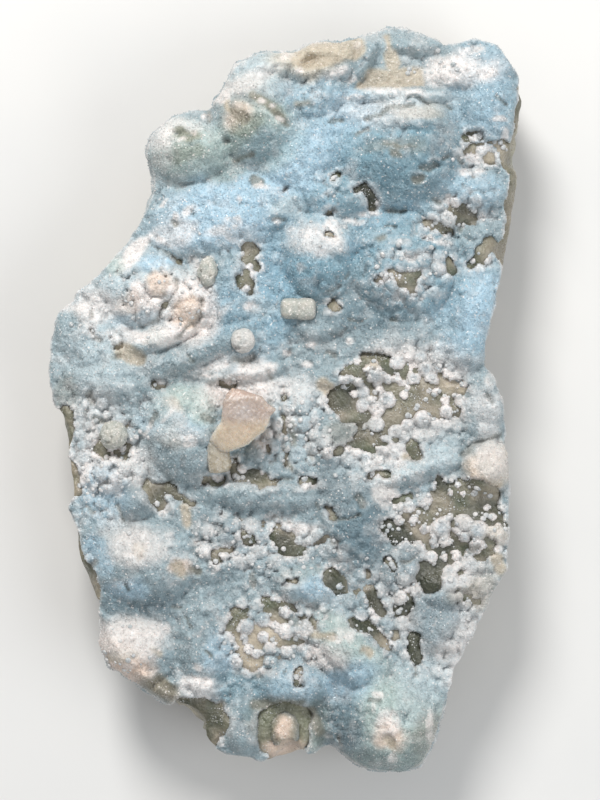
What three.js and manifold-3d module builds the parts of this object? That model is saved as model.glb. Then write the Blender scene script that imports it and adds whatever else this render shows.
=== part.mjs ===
// Hemimorphite specimen: a hand-sized flake of pale smithsonite stone, broken all round and behind, whose
// grown front carries a knobbly crust of blue hemimorphite. The crust has bare patches where the stone and
// its beads show, and a few calcite crystals and pale nodules sit on it.
// Millimetres, +Z up. The flake lies on its broken back, crust up; the origin is under its middle.
import * as THREE from "three";
import { ConvexGeometry } from "three/addons/geometries/ConvexGeometry.js";
import { mergeVertices } from "three/addons/utils/BufferGeometryUtils.js";
import Module from "manifold-3d";

const wasm = await Module();
wasm.setup();

// ---------------------------------------------------------------- driving dimensions

const FLAKE = 11.6; // height of the front face above the surface it rests on, between the swellings
const CROWN = 1.3; // how much the middle of the front stands above its rim
const CRUST = 1.0; // thickness of the crust over the stone, least
const SHARE_IN_STONE = 0.8; // how much of each swelling is already in the stone under the crust
const GAP = 0.3; // clearance between pieces that touch
const HALF_WIDTH = 24.1;
const HALF_LENGTH = 37.7;

const CRUST_PITCH = 2.1; // spacing of the points of the crust's face
const STONE_PITCH = 4.2; // spacing of the points of the stone's face and back
const POINT_JITTER = 0.35; // how unevenly those points lie, as a share of their spacing
const KNOB_CELL = 2.9; // width of the crust's small knobs
const KNOB_HEIGHT = 0.7;
const KNOB_JITTER = 0.6; // how unevenly the knobs lie, as a share of their width
const DOME_FULLNESS = 0.8; // power of a swelling's profile: lower is flatter on top and steeper at its edge
const DOME_BLEND = 4; // power in which swellings are added: higher leaves a sharper crease between two
const DEPTH_BEHIND = 3; // how far cutting shapes reach past the faces they cut

// ---------------------------------------------------------------- the rim, seen from above

// The rim in stretches, anticlockwise from the notch between the two upper-left balls. The crust rolls down
// over a "rolled" stretch. A "broken" one is a fracture, and its third number says how far the stone stands
// out lower down.
const RIM_STRETCHES = [
  {
    name: "upper-left ball",
    rolled: true,
    points: [[-7.9, 28.1], [-9.5, 29.2], [-11.8, 28.4], [-13.9, 26.4], [-14.3, 24.6], [-13.6, 22.2]],
  },
  {
    name: "left shoulder",
    points: [
      [-13.6, 20.5], [-14.8, 17.8], [-16.6, 15.1], [-18.8, 12.6], [-21.4, 10.7], [-21.7, 9.5], [-23.2, 8.8],
      [-23.9, 5.6], [-24.1, 2.2], [-23.6, -0.4],
    ],
  },
  {
    name: "lower-left break",
    points: [
      [-22.5, -3.0, 0.3], [-21.6, -7.5, 0.4], [-21.4, -10.0, 0.3], [-22.3, -11.0, 0.2], [-21.0, -13.0, 0.5],
      [-20.6, -16.0, 0.6], [-19.8, -18.2, 0.6], [-18.8, -21.5, 0.2],
    ],
  },
  {
    name: "bottom-left swelling",
    rolled: true,
    points: [[-18.9, -24.6], [-17.9, -27.0], [-15.3, -28.7], [-12.8, -30.4]],
  },
  {
    name: "bottom break",
    points: [[-9.8, -32.2], [-7.8, -34.9], [-6.2, -35.7], [-2.9, -36.3], [0.9, -36.1], [2.9, -35.6]],
  },
  {
    name: "bottom-right swelling",
    rolled: true,
    points: [[4.0, -34.2], [5.4, -35.7], [7.8, -37.3], [11.7, -37.7], [13.6, -36.6], [15.0, -33.4]],
  },
  {
    name: "lower-right break",
    points: [
      [16.2, -29.4], [17.0, -26.9], [19.9, -21.1], [21.9, -17.3], [22.3, -14.0], [22.4, -9.0], [22.0, -5.0],
      [21.7, -0.8], [20.6, 2.4], [19.7, 3.3], [19.9, 6.0], [20.7, 9.4],
    ],
  },
  {
    name: "upper-right break",
    points: [
      [21.3, 12.0, 0.3], [21.5, 15.4, 0.9], [21.8, 19.4, 1.4], [22.2, 21.9, 1.6], [22.3, 24.0, 0.8],
      [22.8, 28.4, 1.2], [23.3, 32.3, 0.3],
    ],
  },
  {
    name: "top edge",
    points: [[22.3, 33.9], [20.8, 35.7], [18.6, 36.3], [16.1, 35.5], [14.6, 36.3]],
  },
  {
    name: "top swellings",
    rolled: true,
    points: [
      [12.7, 37.3], [10.3, 37.7], [8.0, 36.7], [5.2, 36.0], [2.2, 35.8], [0.6, 34.8], [-2.5, 35.1],
      [-4.9, 33.9], [-6.3, 32.0], [-7.4, 29.8],
    ],
  },
];

const RIM = RIM_STRETCHES.flatMap(({ points, rolled = false }) =>
  points.map(([x, y, flare = 0]) => ({ x, y, flare, rolled })),
);

// The line down the flake's middle that the rim is drawn in towards lower down the sides.
const SPINE_TOP = new THREE.Vector2(3, 22);
const SPINE_FOOT = new THREE.Vector2(0, -20);

// Heights up the side as shares of the front's own height, with how far the surface stands out there.
const BROKEN_SIDE = [[-0.1, -2.6], [0.35, -0.5], [0.75, 0], [1.1, 0], [2, 0]];
const FLARE_SHARE = [0.2, 0.9, 1, 0, 0]; // of a point's flare, at those heights
const ROLLED_SIDE = [[-0.1, -4.6], [0.35, -2.1], [0.7, -1.2], [1.1, -2.6], [2, -2.6]];
const CRUST_ON_BROKEN = [[0.6, 0], [0.7, 0], [0.8, 0], [1.1, 0], [2, 0]];
const CRUST_ON_ROLLED = [[0.42, -1.2], [0.62, 0], [0.86, -0.4], [1.1, -1.8], [2, -1.8]];
const FOOT_UNEVEN = 0.15; // how much lower the rolled crust may reach, as a share of the height
const BREAK_ROUGHNESS = 1.1;
const FLARED_ROUGHNESS = 0.3; // share of it where the stone stands out, so that the flare keeps its shape
const FRONT_INSET = 2.5; // how far in from the rim the front's height is read for its side

// ---------------------------------------------------------------- the front's swellings

// Botryoidal swellings: centre x, y, half-widths, turn in degrees, height over the flake's face.
const SWELLINGS = [
  // upper left: two balls, a small lobe over the second, and the beige one with its lower lobe
  [-9.9, 25.4, 4.4, 3.8, 0, 2.7], [-3.3, 28.4, 4.9, 4.9, 0, 3.4], [-2.3, 33.5, 3.2, 1.9, 10, 1.8],
  [3.2, 33.9, 3.8, 2.7, 0, 2.4], [2.7, 30.2, 3.4, 2.1, 25, 1.8],
  // top: a thin rib, a knob and the corner block
  [7.8, 34.4, 0.9, 3.4, -22, 1.6], [12.9, 36.0, 2.8, 1.7, 0, 1.4], [17.2, 32.7, 3.2, 1.6, 0, 1.1],
  [20.7, 33.6, 2.2, 2.2, 0, 1.3], [20.4, 29.4, 2.8, 4.2, 0, 1.5],
  // the big swelling and the ledge over it
  [11.7, 24.7, 6.5, 6.1, 0, 3.6], [11.4, 30.4, 5.4, 1.1, 0, 2.3],
  // right side, below the upper bare patch
  [18.7, 20.9, 3.9, 2.2, 0, 2.0], [15.0, 18.6, 2.6, 1.6, -25, 1.7], [19.2, 15.4, 1.9, 2.6, 0, 1.2],
  // the second big swelling, the one left of it and their neighbours
  [11.6, 13.4, 5.4, 5.6, 0, 3.0], [3.3, 14.2, 3.8, 4.5, 0, 2.7], [4.2, 7.9, 3.6, 1.8, 20, 1.5],
  [19.0, 9.9, 3.0, 4.4, -12, 1.7], [18.2, 5.4, 2.6, 2.6, 0, 1.3],
  // ridges between the upper swellings, and the smooth blue slope
  [4.2, 20.4, 4.2, 2.2, -5, 1.6], [1.2, 24.9, 4.6, 3.4, 30, 1.2], [-6.8, 18.4, 7.6, 4.0, 14, 1.4],
  [-6.3, 10.9, 3.0, 4.4, 0, 0.9],
  // left: the knobbly white group, its ledge and the teal band
  [-14.0, 10.9, 4.4, 4.0, 0, 2.3], [-10.0, 9.9, 2.8, 3.2, 0, 1.8], [-12.3, 6.4, 4.2, 1.4, 20, 1.5],
  [-18.3, 11.9, 2.8, 2.0, 30, 0.9], [-20.6, 6.4, 2.8, 3.2, 0, 1.0], [-8.8, 4.9, 6.2, 1.5, 24, 1.4],
  [-17.8, 1.4, 4.6, 2.0, -6, 1.1], [-4.3, 2.7, 4.6, 1.1, 8, 1.1],
  // left middle: the light dome, and the lumps beside and under it
  [-9.8, -3.4, 4.5, 5.2, 8, 2.8], [-17.3, -7.6, 3.2, 2.0, 0, 1.4], [-15.2, -10.2, 1.9, 1.9, 0, 1.6],
  // centre: the blue bands and the lumps beside the beaded patch
  [-3.0, -9.6, 6.4, 1.6, -2, 1.3], [1.2, -1.2, 2.4, 2.8, 0, 1.2], [4.2, -4.1, 2.2, 2.4, 0, 1.3],
  [6.2, -12.6, 3.2, 4.8, 12, 1.2], [6.7, 2.7, 4.6, 1.5, 10, 1.2],
  // right middle: the rim band, the beige ball, the light bar
  [19.5, -0.6, 2.7, 4.2, 0, 1.2], [19.9, -6.8, 2.6, 2.8, 0, 2.3], [13.7, -7.1, 4.4, 1.2, 18, 1.2],
  [19.2, -13.1, 2.8, 2.2, 0, 1.1],
  // lower left: two swellings with a hollow between them
  [-14.3, -16.3, 5.4, 4.2, 0, 2.8], [-15.6, -25.6, 4.3, 3.4, 0, 2.5], [-8.3, -16.1, 3.6, 2.4, 0, 1.2],
  // lower middle
  [-5.8, -13.1, 3.8, 1.6, 0, 1.1], [2.2, -18.7, 3.4, 2.0, 0, 1.4], [-8.3, -24.1, 2.8, 4.6, 0, 1.2],
  [-9.8, -28.9, 3.6, 1.2, 0, 1.3], [0.7, -28.6, 3.6, 2.3, 0, 1.8], [-4.7, -33.1, 1.9, 2.5, 0, 1.3],
  [2.5, -34.0, 1.6, 2.2, 0, 1.1],
  // lower right: the sloping ledge, the smooth dome at the foot and the low lumps over them
  [6.2, -25.1, 4.8, 3.4, -38, 2.1], [10.0, -32.6, 5.0, 5.0, 0, 3.2], [16.0, -18.9, 3.2, 2.0, 0, 1.0],
  [11.4, -17.8, 1.9, 2.8, 10, 1.0], [15.6, -23.6, 2.6, 2.4, 0, 0.8],
];

// ---------------------------------------------------------------- bare patches in the crust

// Centre x, y, half-widths and turn in degrees of each patch where the crust never grew.
const WINDOWS = [
  // on the upper-left balls, the beige ball and the hollow beside the rib
  [-1.9, 29.0, 2.0, 0.9, -38], [-9.9, 26.2, 1.3, 0.8, 0], [3.4, 33.3, 2.3, 0.8, 5],
  [10.4, 32.3, 3.3, 1.4, 0], [9.9, 34.9, 1.0, 1.6, 0],
  // round the big swelling
  [19.6, 24.7, 2.6, 1.4, -10], [7.8, 20.6, 1.0, 1.6, 25], [18.0, 18.7, 1.9, 1.0, -40],
  [20.2, 14.9, 1.5, 0.9, 0],
  // on the second big swelling, and the slot in the blue valley
  [11.8, 12.3, 2.5, 1.5, 0], [-3.7, 13.0, 1.3, 2.3, 0],
  // in the white group
  [-15.8, 4.7, 1.6, 1.1, 0],
  // the beaded window right of centre
  [6.0, -0.9, 2.1, 2.6, 25], [9.8, 3.2, 3.2, 1.4, 5], [13.4, 0.6, 3.4, 1.6, 0], [11.6, -3.2, 4.6, 1.8, -6],
  // under the calcite, and the two hollows on the left
  [-2.4, -7.2, 2.9, 1.3, 0], [-11.6, -9.2, 2.6, 1.2, 0], [-10.2, -11.9, 1.3, 1.3, 0],
  // lower right
  [16.4, -9.6, 3.4, 1.6, -8], [12.0, -12.2, 1.7, 2.0, 0], [14.0, -17.2, 1.4, 1.8, 0],
  [18.6, -16.2, 1.6, 1.0, 0], [5.2, -18.6, 1.2, 1.6, 20], [8.0, -22.6, 1.9, 0.9, -38],
  // lower middle, and the two hollows in the foot
  [-0.4, -14.7, 1.7, 1.3, 0], [-3.3, -24.3, 1.8, 3.2, 8], [0.8, -22.8, 2.1, 1.3, 0],
  [-8.2, -31.8, 2.6, 1.3, -12], [-0.7, -33.0, 3.0, 3.3, 0],
  // along the left rim, where the stone shows past the crust
  [-22.4, -3.2, 1.0, 2.0, 0], [-19.7, -19.0, 0.8, 2.4, 12],
];
const WINDOW_CORNERS = 6;
const WINDOW_LEAST = 0.9; // a corner's distance from the patch's centre, as a share of the half-width: least
const WINDOW_UNEVEN = 0.35; // and how much more it may be

// Pale beads grown on the stone inside the bare patches: x, y, radius.
const BEADS = [
  [6.7, -0.2, 0.75], [9.2, -2.6, 0.9], [11.2, -3.6, 0.7], [13.4, -3.4, 0.85], [10.6, 3.5, 0.75],
  [11.9, 0.5, 0.7], [13.8, 1.1, 0.8], [5.2, -2.0, 0.6], [11.9, -11.6, 0.75], [16.4, -9.2, 0.7],
  [12.1, -13.2, 0.6], [20.6, 24.5, 0.7], [18.7, 24.9, 0.7], [10.8, 12.0, 0.7], [12.6, 12.5, 0.75],
  [-3.6, 13.9, 0.6], [-3.8, 12.2, 0.6], [-3.6, -25.6, 0.75], [-2.9, -23.0, 0.7], [0.6, -22.8, 0.7],
  [-0.3, -14.6, 0.75], [-11.3, -9.2, 0.65],
];
const BEAD_LIFT = 0.25; // height of a bead's middle over the stone, as a share of its radius

// The larger ball in the hollow of the foot, with its half-widths.
const FOOT_BALL = { x: -0.4, y: -33.5, across: 1.7, along: 2.4, high: 1.7 };

// ---------------------------------------------------------------- the back

// Patches of the broken back that touch the surface: centre x, y and radius.
const PADS = [
  [0.5, -1.0, 5.4], [-14.5, 5.5, 5.2], [11.5, 26.0, 5.5],
  [14.0, -7.5, 5.0], [-8.5, -22.5, 5.2], [6.5, -29.5, 5.0],
];
const BACK_RELIEF = 2.4; // how far the back stands off the surface between its pads
const PAD_EDGE = 4.5; // distance over which it rises to that

// ---------------------------------------------------------------- crystals and nodules on the crust

// The two calcite crystals that grew together, as blocks with their corners measured from the big one's
// middle: the foot has the girdle's outline drawn in, and the table is the flat top.
const CALCITE_AT = new THREE.Vector2(-4.3, -2.1);
const CALCITES = [
  {
    name: "upper half of the big crystal",
    girdle: [
      [-2.1, 2.0], [-2.0, 3.0], [-0.5, 3.1], [1.0, 2.5], [3.0, 1.3], [2.6, 0], [1.6, -1.6], [-1.9, 0.5],
    ],
    table: [[-1.3, 2.0], [0.3, 2.0], [1.7, 0.9], [1.2, -0.6], [-1.0, 0.4]],
    low: -1.9,
    girdleAt: 1.1,
    high: 2.6,
  },
  {
    name: "lower half of the big crystal",
    girdle: [
      [-1.9, 1.0], [1.4, -0.4], [1.2, -1.8], [-0.3, -3.0], [-1.3, -3.2], [-2.8, -2.6], [-3.3, -1.5],
      [-3.0, -0.5],
    ],
    table: [[-1.1, -0.2], [0.9, -1.2], [-0.6, -2.3], [-2.1, -2.0], [-2.4, -1.0]],
    low: -1.7,
    girdleAt: 0.9,
    high: 2.3,
  },
  {
    name: "small crystal",
    girdle: [
      [-3.4, -1.6], [-1.5, -2.2], [-1.3, -3.5], [-1.4, -4.5], [-2.0, -5.2], [-3.3, -5.1], [-3.7, -4.5],
    ],
    table: [[-3.0, -2.4], [-2.0, -3.0], [-2.0, -4.3], [-3.1, -4.3]],
    low: -1.6,
    girdleAt: 0.4,
    high: 1.3,
  },
];
const CALCITE_LIFT = 1.3; // height of their middle over the flake's face
const FOOT_INSET = 0.5; // how far a crystal's foot draws in under its widest outline
const GIRDLE_ROOM = 1.2; // room round the widest outline, in gaps: its corners are sharper than the foot's

// Rounded pieces set in the crust, each of one or two lobes: x, y and half-widths from the piece's own
// place. Lift is the height of its middle over the crust.
const NODULES = [
  { name: "calcite_nub", lobes: [[-0.65, 0, 1.1, 1.1], [0.75, 0.15, 1.15, 1.1]], x: 0.9, y: 9.0, lift: 0.6 },
  { name: "pale_nodule_long", lobes: [[0, 0, 1.05, 1.6]], x: -8.0, y: 12.7, lift: 0.4 },
  { name: "pale_nodule_round", lobes: [[0, 0, 1.3, 1.3]], x: -4.5, y: 5.8, lift: 0.5 },
  { name: "pale_nodule_left", lobes: [[0, 0, 1.5, 1.5]], x: -17.4, y: -3.6, lift: 0.6 },
];
const NODULE_SQUASH = 0.8; // height of a nodule as a share of its width

// ---------------------------------------------------------------- noise

// A number from 0 to 1 that depends only on its arguments.
function hash(i, j, seed = 0) {
  const s = Math.sin(i * 127.1 + j * 311.7 + seed * 74.7) * 43758.5453;
  return s - Math.floor(s);
}

// Smooth noise from 0 to 1 over cells of the given width.
function noise(x, y, width, seed) {
  const i = Math.floor(x / width);
  const j = Math.floor(y / width);
  const u = THREE.MathUtils.smoothstep(x / width - i, 0, 1);
  const v = THREE.MathUtils.smoothstep(y / width - j, 0, 1);
  const low = THREE.MathUtils.lerp(hash(i, j, seed), hash(i + 1, j, seed), u);
  const high = THREE.MathUtils.lerp(hash(i, j + 1, seed), hash(i + 1, j + 1, seed), u);
  return THREE.MathUtils.lerp(low, high, v);
}

// Close-packed small domes: 1 on a dome's top, 0 in the creases between them.
function knobs(x, y) {
  const i0 = Math.floor(x / KNOB_CELL);
  const j0 = Math.floor(y / KNOB_CELL);
  let nearest = Infinity;
  for (let i = i0 - 1; i <= i0 + 1; i++) {
    for (let j = j0 - 1; j <= j0 + 1; j++) {
      const dx = x / KNOB_CELL - i - 0.5 - KNOB_JITTER * (hash(i, j, 5) - 0.5);
      const dy = y / KNOB_CELL - j - 0.5 - KNOB_JITTER * (hash(i, j, 6) - 0.5);
      nearest = Math.min(nearest, dx * dx + dy * dy);
    }
  }
  return Math.sqrt(Math.max(0, 1 - nearest));
}

// ---------------------------------------------------------------- heights

// How far (x, y) is from an ellipse's centre, as a share of its half-width that way.
function reachOf([cx, cy, rx, ry, turn = 0], x, y) {
  const a = THREE.MathUtils.degToRad(turn);
  const u = (x - cx) * Math.cos(a) + (y - cy) * Math.sin(a);
  const v = (y - cy) * Math.cos(a) - (x - cx) * Math.sin(a);
  return Math.hypot(u / rx, v / ry);
}

const crown = (x, y) =>
  FLAKE + CROWN * (1 - Math.min(1, (x / HALF_WIDTH) ** 2 + (y / HALF_LENGTH) ** 2));

// Height of the swellings' joint surface over the crown: nearly that of the highest dome at each place, so
// that soft creases stay between them.
function swelling(x, y) {
  let sum = 0;
  for (const dome of SWELLINGS) {
    const reach = reachOf(dome, x, y);
    if (reach < 1) sum += (dome[5] * (1 - reach * reach) ** DOME_FULLNESS) ** DOME_BLEND;
  }
  return sum ** (1 / DOME_BLEND);
}

const crustTop = (x, y) => crown(x, y) + swelling(x, y) + KNOB_HEIGHT * (knobs(x, y) - 0.5);
const stoneTop = (x, y) => crown(x, y) + SHARE_IN_STONE * swelling(x, y) - CRUST;

function stoneBack(x, y) {
  const off = Math.min(...PADS.map(([px, py, r]) => Math.hypot(x - px, y - py) - r));
  if (off <= 0) return 0;
  return THREE.MathUtils.smoothstep(off, 0, PAD_EDGE) * BACK_RELIEF * (0.25 + noise(x, y, 5.5, 3));
}

// ---------------------------------------------------------------- closed meshes and booleans

// A manifold-3d solid from any closed three.js geometry.
function solidOf(geometry) {
  const bare = new THREE.BufferGeometry();
  bare.setAttribute("position", geometry.getAttribute("position"));
  if (geometry.index) bare.setIndex(geometry.index);
  const merged = mergeVertices(bare, 1e-4);
  return new wasm.Manifold(
    new wasm.Mesh({
      numProp: 3,
      vertProperties: new Float32Array(merged.attributes.position.array),
      triVerts: new Uint32Array(merged.index.array),
    }),
  );
}

function geometryOf(solid) {
  const { numProp, numVert, vertProperties, triVerts } = solid.getMesh();
  const places = new Float32Array(numVert * 3);
  for (let i = 0; i < numVert; i++) places.set(vertProperties.subarray(i * numProp, i * numProp + 3), i * 3);
  const geometry = new THREE.BufferGeometry()
    .setAttribute("position", new THREE.BufferAttribute(places, 3))
    .setIndex(new THREE.BufferAttribute(triVerts, 1));
  geometry.computeVertexNormals();
  return geometry;
}

const largestBody = (solid) =>
  solid.decompose().reduce((a, b) => (b.volume() > a.volume() ? b : a));

function meshFrom(vertices, faces) {
  return new THREE.BufferGeometry()
    .setAttribute("position", new THREE.Float32BufferAttribute(vertices.flat(), 3))
    .setIndex(faces.flat());
}

// A block over the whole flake's rectangle, between two surfaces given as height functions.
function blockBetween(pitch, top, bottom) {
  const reach = { x: HALF_WIDTH + DEPTH_BEHIND, y: HALF_LENGTH + DEPTH_BEHIND };
  const row = pitch * Math.sqrt(0.75);
  const columns = Math.ceil((2 * reach.x) / pitch);
  const rows = Math.ceil((2 * reach.y) / row);
  const places = [];
  for (let j = 0; j <= rows; j++) {
    for (let i = 0; i <= columns; i++) {
      const inside = i > 0 && i < columns && j > 0 && j < rows;
      const shift = inside ? (j % 2) * 0.5 - 0.25 + POINT_JITTER * (hash(i, j, 1) - 0.5) : 0;
      const slip = inside ? POINT_JITTER * (hash(i, j, 2) - 0.5) : 0;
      places.push([-reach.x + (i + shift) * pitch, -reach.y + (j + slip) * row]);
    }
  }
  const count = places.length;
  const vertices = [
    ...places.map(([x, y]) => [x, y, top(x, y)]),
    ...places.map(([x, y]) => [x, y, bottom(x, y)]),
  ];
  const at = (i, j) => j * (columns + 1) + i;
  const faces = [];
  for (let j = 0; j < rows; j++) {
    for (let i = 0; i < columns; i++) {
      const [a, b, c, d] = [at(i, j), at(i + 1, j), at(i + 1, j + 1), at(i, j + 1)];
      const halves = j % 2 ? [[a, b, c], [a, c, d]] : [[a, b, d], [b, c, d]];
      for (const [p, q, r] of halves) faces.push([p, q, r], [p + count, r + count, q + count]);
    }
  }
  const wall = (p, q) => faces.push([q, p, p + count], [q, p + count, q + count]);
  for (let i = 0; i < columns; i++) {
    wall(at(i, 0), at(i + 1, 0));
    wall(at(i + 1, rows), at(i, rows));
  }
  for (let j = 0; j < rows; j++) {
    wall(at(columns, j), at(columns, j + 1));
    wall(at(0, j + 1), at(0, j));
  }
  return solidOf(meshFrom(vertices, faces));
}

// A solid through one ring of points for each height up the side, closed with a flat face at each end.
function loft(rings) {
  const n = rings[0].length;
  const faces = [];
  for (let k = 0; k + 1 < rings.length; k++) {
    for (let i = 0; i < n; i++) {
      const [a, b] = [k * n + i, k * n + ((i + 1) % n)];
      faces.push([a, b, b + n], [a, b + n, a + n]);
    }
  }
  const cap = (ring, first, turned) => {
    const flat = ring.map(([x, y]) => new THREE.Vector2(x, y));
    for (const [a, b, c] of THREE.ShapeUtils.triangulateShape(flat, [])) {
      faces.push(turned ? [first + a, first + c, first + b] : [first + a, first + b, first + c]);
    }
  };
  cap(rings[0], 0, true);
  cap(rings.at(-1), (rings.length - 1) * n, false);
  return solidOf(meshFrom(rings.flat(), faces));
}

// ---------------------------------------------------------------- the sides

// The point of the flake's middle line nearest to a rim point, which its side is drawn in towards.
function nearestOnSpine({ x, y }) {
  const line = SPINE_FOOT.clone().sub(SPINE_TOP);
  const along = new THREE.Vector2(x, y).sub(SPINE_TOP).dot(line) / line.lengthSq();
  return SPINE_TOP.clone().addScaledVector(line, THREE.MathUtils.clamp(along, 0, 1));
}

// The ring of rim points at level k of the side sections, standing out by each point's own section.
function ringAt(k, sectionOf, grow) {
  const ring = RIM.map((point, i) => {
    const [share, stands] = sectionOf(point, i, k);
    const outward = new THREE.Vector2(point.x, point.y).sub(nearestOnSpine(point)).normalize();
    const inner = { x: point.x - FRONT_INSET * outward.x, y: point.y - FRONT_INSET * outward.y };
    const height = share * (crown(inner.x, inner.y) + swelling(inner.x, inner.y));
    return new THREE.Vector3(point.x + stands * outward.x, point.y + stands * outward.y, height);
  });
  return ring.map((here, i) => {
    const before = ring.at(i - 1);
    const after = ring[(i + 1) % ring.length];
    const back = new THREE.Vector2(here.x - before.x, here.y - before.y).normalize();
    const ahead = new THREE.Vector2(after.x - here.x, after.y - here.y).normalize();
    const bisector = back.clone().add(ahead).normalize();
    const by = grow / Math.max(0.5, bisector.dot(ahead));
    return [here.x + by * bisector.y, here.y - by * bisector.x, here.z];
  });
}

function stoneSection(point, i, k) {
  if (point.rolled) return ROLLED_SIDE[k];
  const [share, stands] = BROKEN_SIDE[k];
  const rough = k < 3 ? BREAK_ROUGHNESS * (hash(i, k, 9) - 0.6) : 0;
  return [share, stands + rough * (point.flare ? FLARED_ROUGHNESS : 1) + FLARE_SHARE[k] * point.flare];
}

function crustSection(point, i, k) {
  const [share, stands] = (point.rolled ? CRUST_ON_ROLLED : CRUST_ON_BROKEN)[k];
  const lower = point.rolled && k === 0 ? FOOT_UNEVEN * hash(i, 0, 21) : 0;
  return [share - lower, stands];
}

const LEVELS = [0, 1, 2, 3, 4];

// ---------------------------------------------------------------- the stone

function beadAt(x, y, r, grow) {
  const bead = new THREE.SphereGeometry(r + grow, 6, 4);
  bead.rotateX(Math.PI / 2);
  bead.translate(x, y, stoneTop(x, y) + BEAD_LIFT * r);
  return solidOf(bead);
}

function footBall(grow) {
  const { x, y, across, along, high } = FOOT_BALL;
  const ball = new THREE.IcosahedronGeometry(1, 2);
  ball.scale(across + grow, along + grow, high + grow);
  ball.translate(x, y, stoneTop(x, y));
  return solidOf(ball);
}

// The whole flake without its crust. With grow, it is the room that the crust has to leave for it.
function stone(grow = 0) {
  const faces = blockBetween(STONE_PITCH, (x, y) => stoneTop(x, y) + grow, (x, y) => stoneBack(x, y) - grow);
  const sides = loft(LEVELS.map((k) => ringAt(k, stoneSection, grow)));
  const grown = BEADS.map(([x, y, r]) => beadAt(x, y, r, grow)).concat(footBall(grow));
  return largestBody(wasm.Manifold.union([faces.intersect(sides), ...grown]));
}

// ---------------------------------------------------------------- the crust

// An upright shape with the irregular outline of one bare patch, through the crust.
function patchCutter([x, y, rx, ry, turn], index) {
  const outline = [];
  for (let i = 0; i < WINDOW_CORNERS; i++) {
    const a = (i / WINDOW_CORNERS) * 2 * Math.PI;
    const uneven = WINDOW_LEAST + WINDOW_UNEVEN * hash(i, index, 12);
    outline.push(new THREE.Vector2(rx * uneven * Math.cos(a), ry * uneven * Math.sin(a)));
  }
  const height = FLAKE + 2 * DEPTH_BEHIND;
  const cutter = new THREE.ExtrudeGeometry(new THREE.Shape(outline), { depth: height, bevelEnabled: false });
  cutter.rotateZ(THREE.MathUtils.degToRad(turn));
  cutter.translate(x, y, FLAKE / 2);
  return solidOf(cutter);
}

function crust(seated) {
  const face = blockBetween(CRUST_PITCH, crustTop, () => 1);
  const sides = loft(LEVELS.map((k) => ringAt(k, crustSection, 0)));
  const cut = [stone(GAP), ...WINDOWS.map(patchCutter), ...seated];
  return largestBody(face.intersect(sides).subtract(wasm.Manifold.union(cut)));
}

// ---------------------------------------------------------------- crystals and nodules

// A flat-faced crystal: the hull of its foot, its widest outline and its top face.
function crystal({ girdle, table, low, girdleAt, high }, grow = 0) {
  const middle = new THREE.Vector3();
  for (const [x, y] of girdle) middle.add(new THREE.Vector3(x / girdle.length, y / girdle.length, 0));
  const level = (points, z, stands) =>
    points.map(([x, y]) => {
      const corner = new THREE.Vector3(x, y, 0).sub(middle);
      return corner.setLength(corner.length() + stands).add(middle).setZ(z);
    });
  return solidOf(
    new ConvexGeometry([
      ...level(girdle, low - grow, grow - FOOT_INSET),
      ...level(girdle, girdleAt, GIRDLE_ROOM * grow),
      ...level(table, high + grow, grow),
    ]),
  );
}

const calcitePair = (grow) => wasm.Manifold.union(CALCITES.map((one) => crystal(one, grow)));

function nodule({ lobes }, grow = 0) {
  const balls = lobes.map(([x, y, rx, ry]) => {
    const ball = new THREE.IcosahedronGeometry(1, 1);
    ball.scale(rx + grow, ry + grow, NODULE_SQUASH * rx + grow);
    ball.translate(x, y, 0);
    return solidOf(ball);
  });
  return wasm.Manifold.union(balls);
}

// ---------------------------------------------------------------- materials

const finish = (color, roughness) => new THREE.MeshStandardMaterial({ color, roughness, metalness: 0 });
const STONE_FINISH = finish(0x8b8a76, 0.55);
const CRUST_FINISH = finish(0x9fbfcc, 0.6);
const CALCITE_FINISH = finish(0xd3bfa8, 0.3);
const NODULE_FINISH = finish(0xcfcdc0, 0.45);

// ---------------------------------------------------------------- the specimen

const specimen = new THREE.Group();

function addPiece(name, solid, material, place = new THREE.Vector3()) {
  const mesh = new THREE.Mesh(geometryOf(solid), material);
  mesh.name = name;
  mesh.position.copy(place);
  specimen.add(mesh);
  return mesh;
}

// What sits on the crust: each piece's shape round its own centre, and the place where it sits.
const seated = [
  {
    name: "calcite_crystals",
    shape: calcitePair,
    finish: CALCITE_FINISH,
    place: new THREE.Vector3(CALCITE_AT.x, CALCITE_AT.y, crown(CALCITE_AT.x, CALCITE_AT.y) + CALCITE_LIFT),
  },
  ...NODULES.map((one) => ({
    name: one.name,
    shape: (grow) => nodule(one, grow),
    finish: one.name === "calcite_nub" ? CALCITE_FINISH : NODULE_FINISH,
    place: new THREE.Vector3(one.x, one.y, crown(one.x, one.y) + swelling(one.x, one.y) + one.lift),
  })),
];
const pockets = seated.map(({ shape, place }) => shape(GAP).translate(place.toArray()));

const bareStone = stone().subtract(wasm.Manifold.union(pockets));
addPiece("smithsonite_stone", largestBody(bareStone), STONE_FINISH);
addPiece("hemimorphite_crust", crust(pockets), CRUST_FINISH);
for (const { name, shape, finish: material, place } of seated) addPiece(name, shape(0), material, place);

export default specimen;
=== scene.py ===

# %% [markdown]
# # A hemimorphite specimen
# A flake of pale, translucent smithsonite that fits in a palm. Its grown front is covered by a crust of
# sky-blue hemimorphite: thousands of tiny radiating balls, so close that they merge into a sugary skin,
# with bare patches where the stone shows between separate white beads. A peach calcite crystal and a few
# pale nodules sit on it. The CAD solids hold the size, the outline and the large swellings. This lesson
# grows the fine surface on them.

import math

import bmesh
import bpy
import numpy as np
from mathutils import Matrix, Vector
from mathutils.bvhtree import BVHTree


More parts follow.
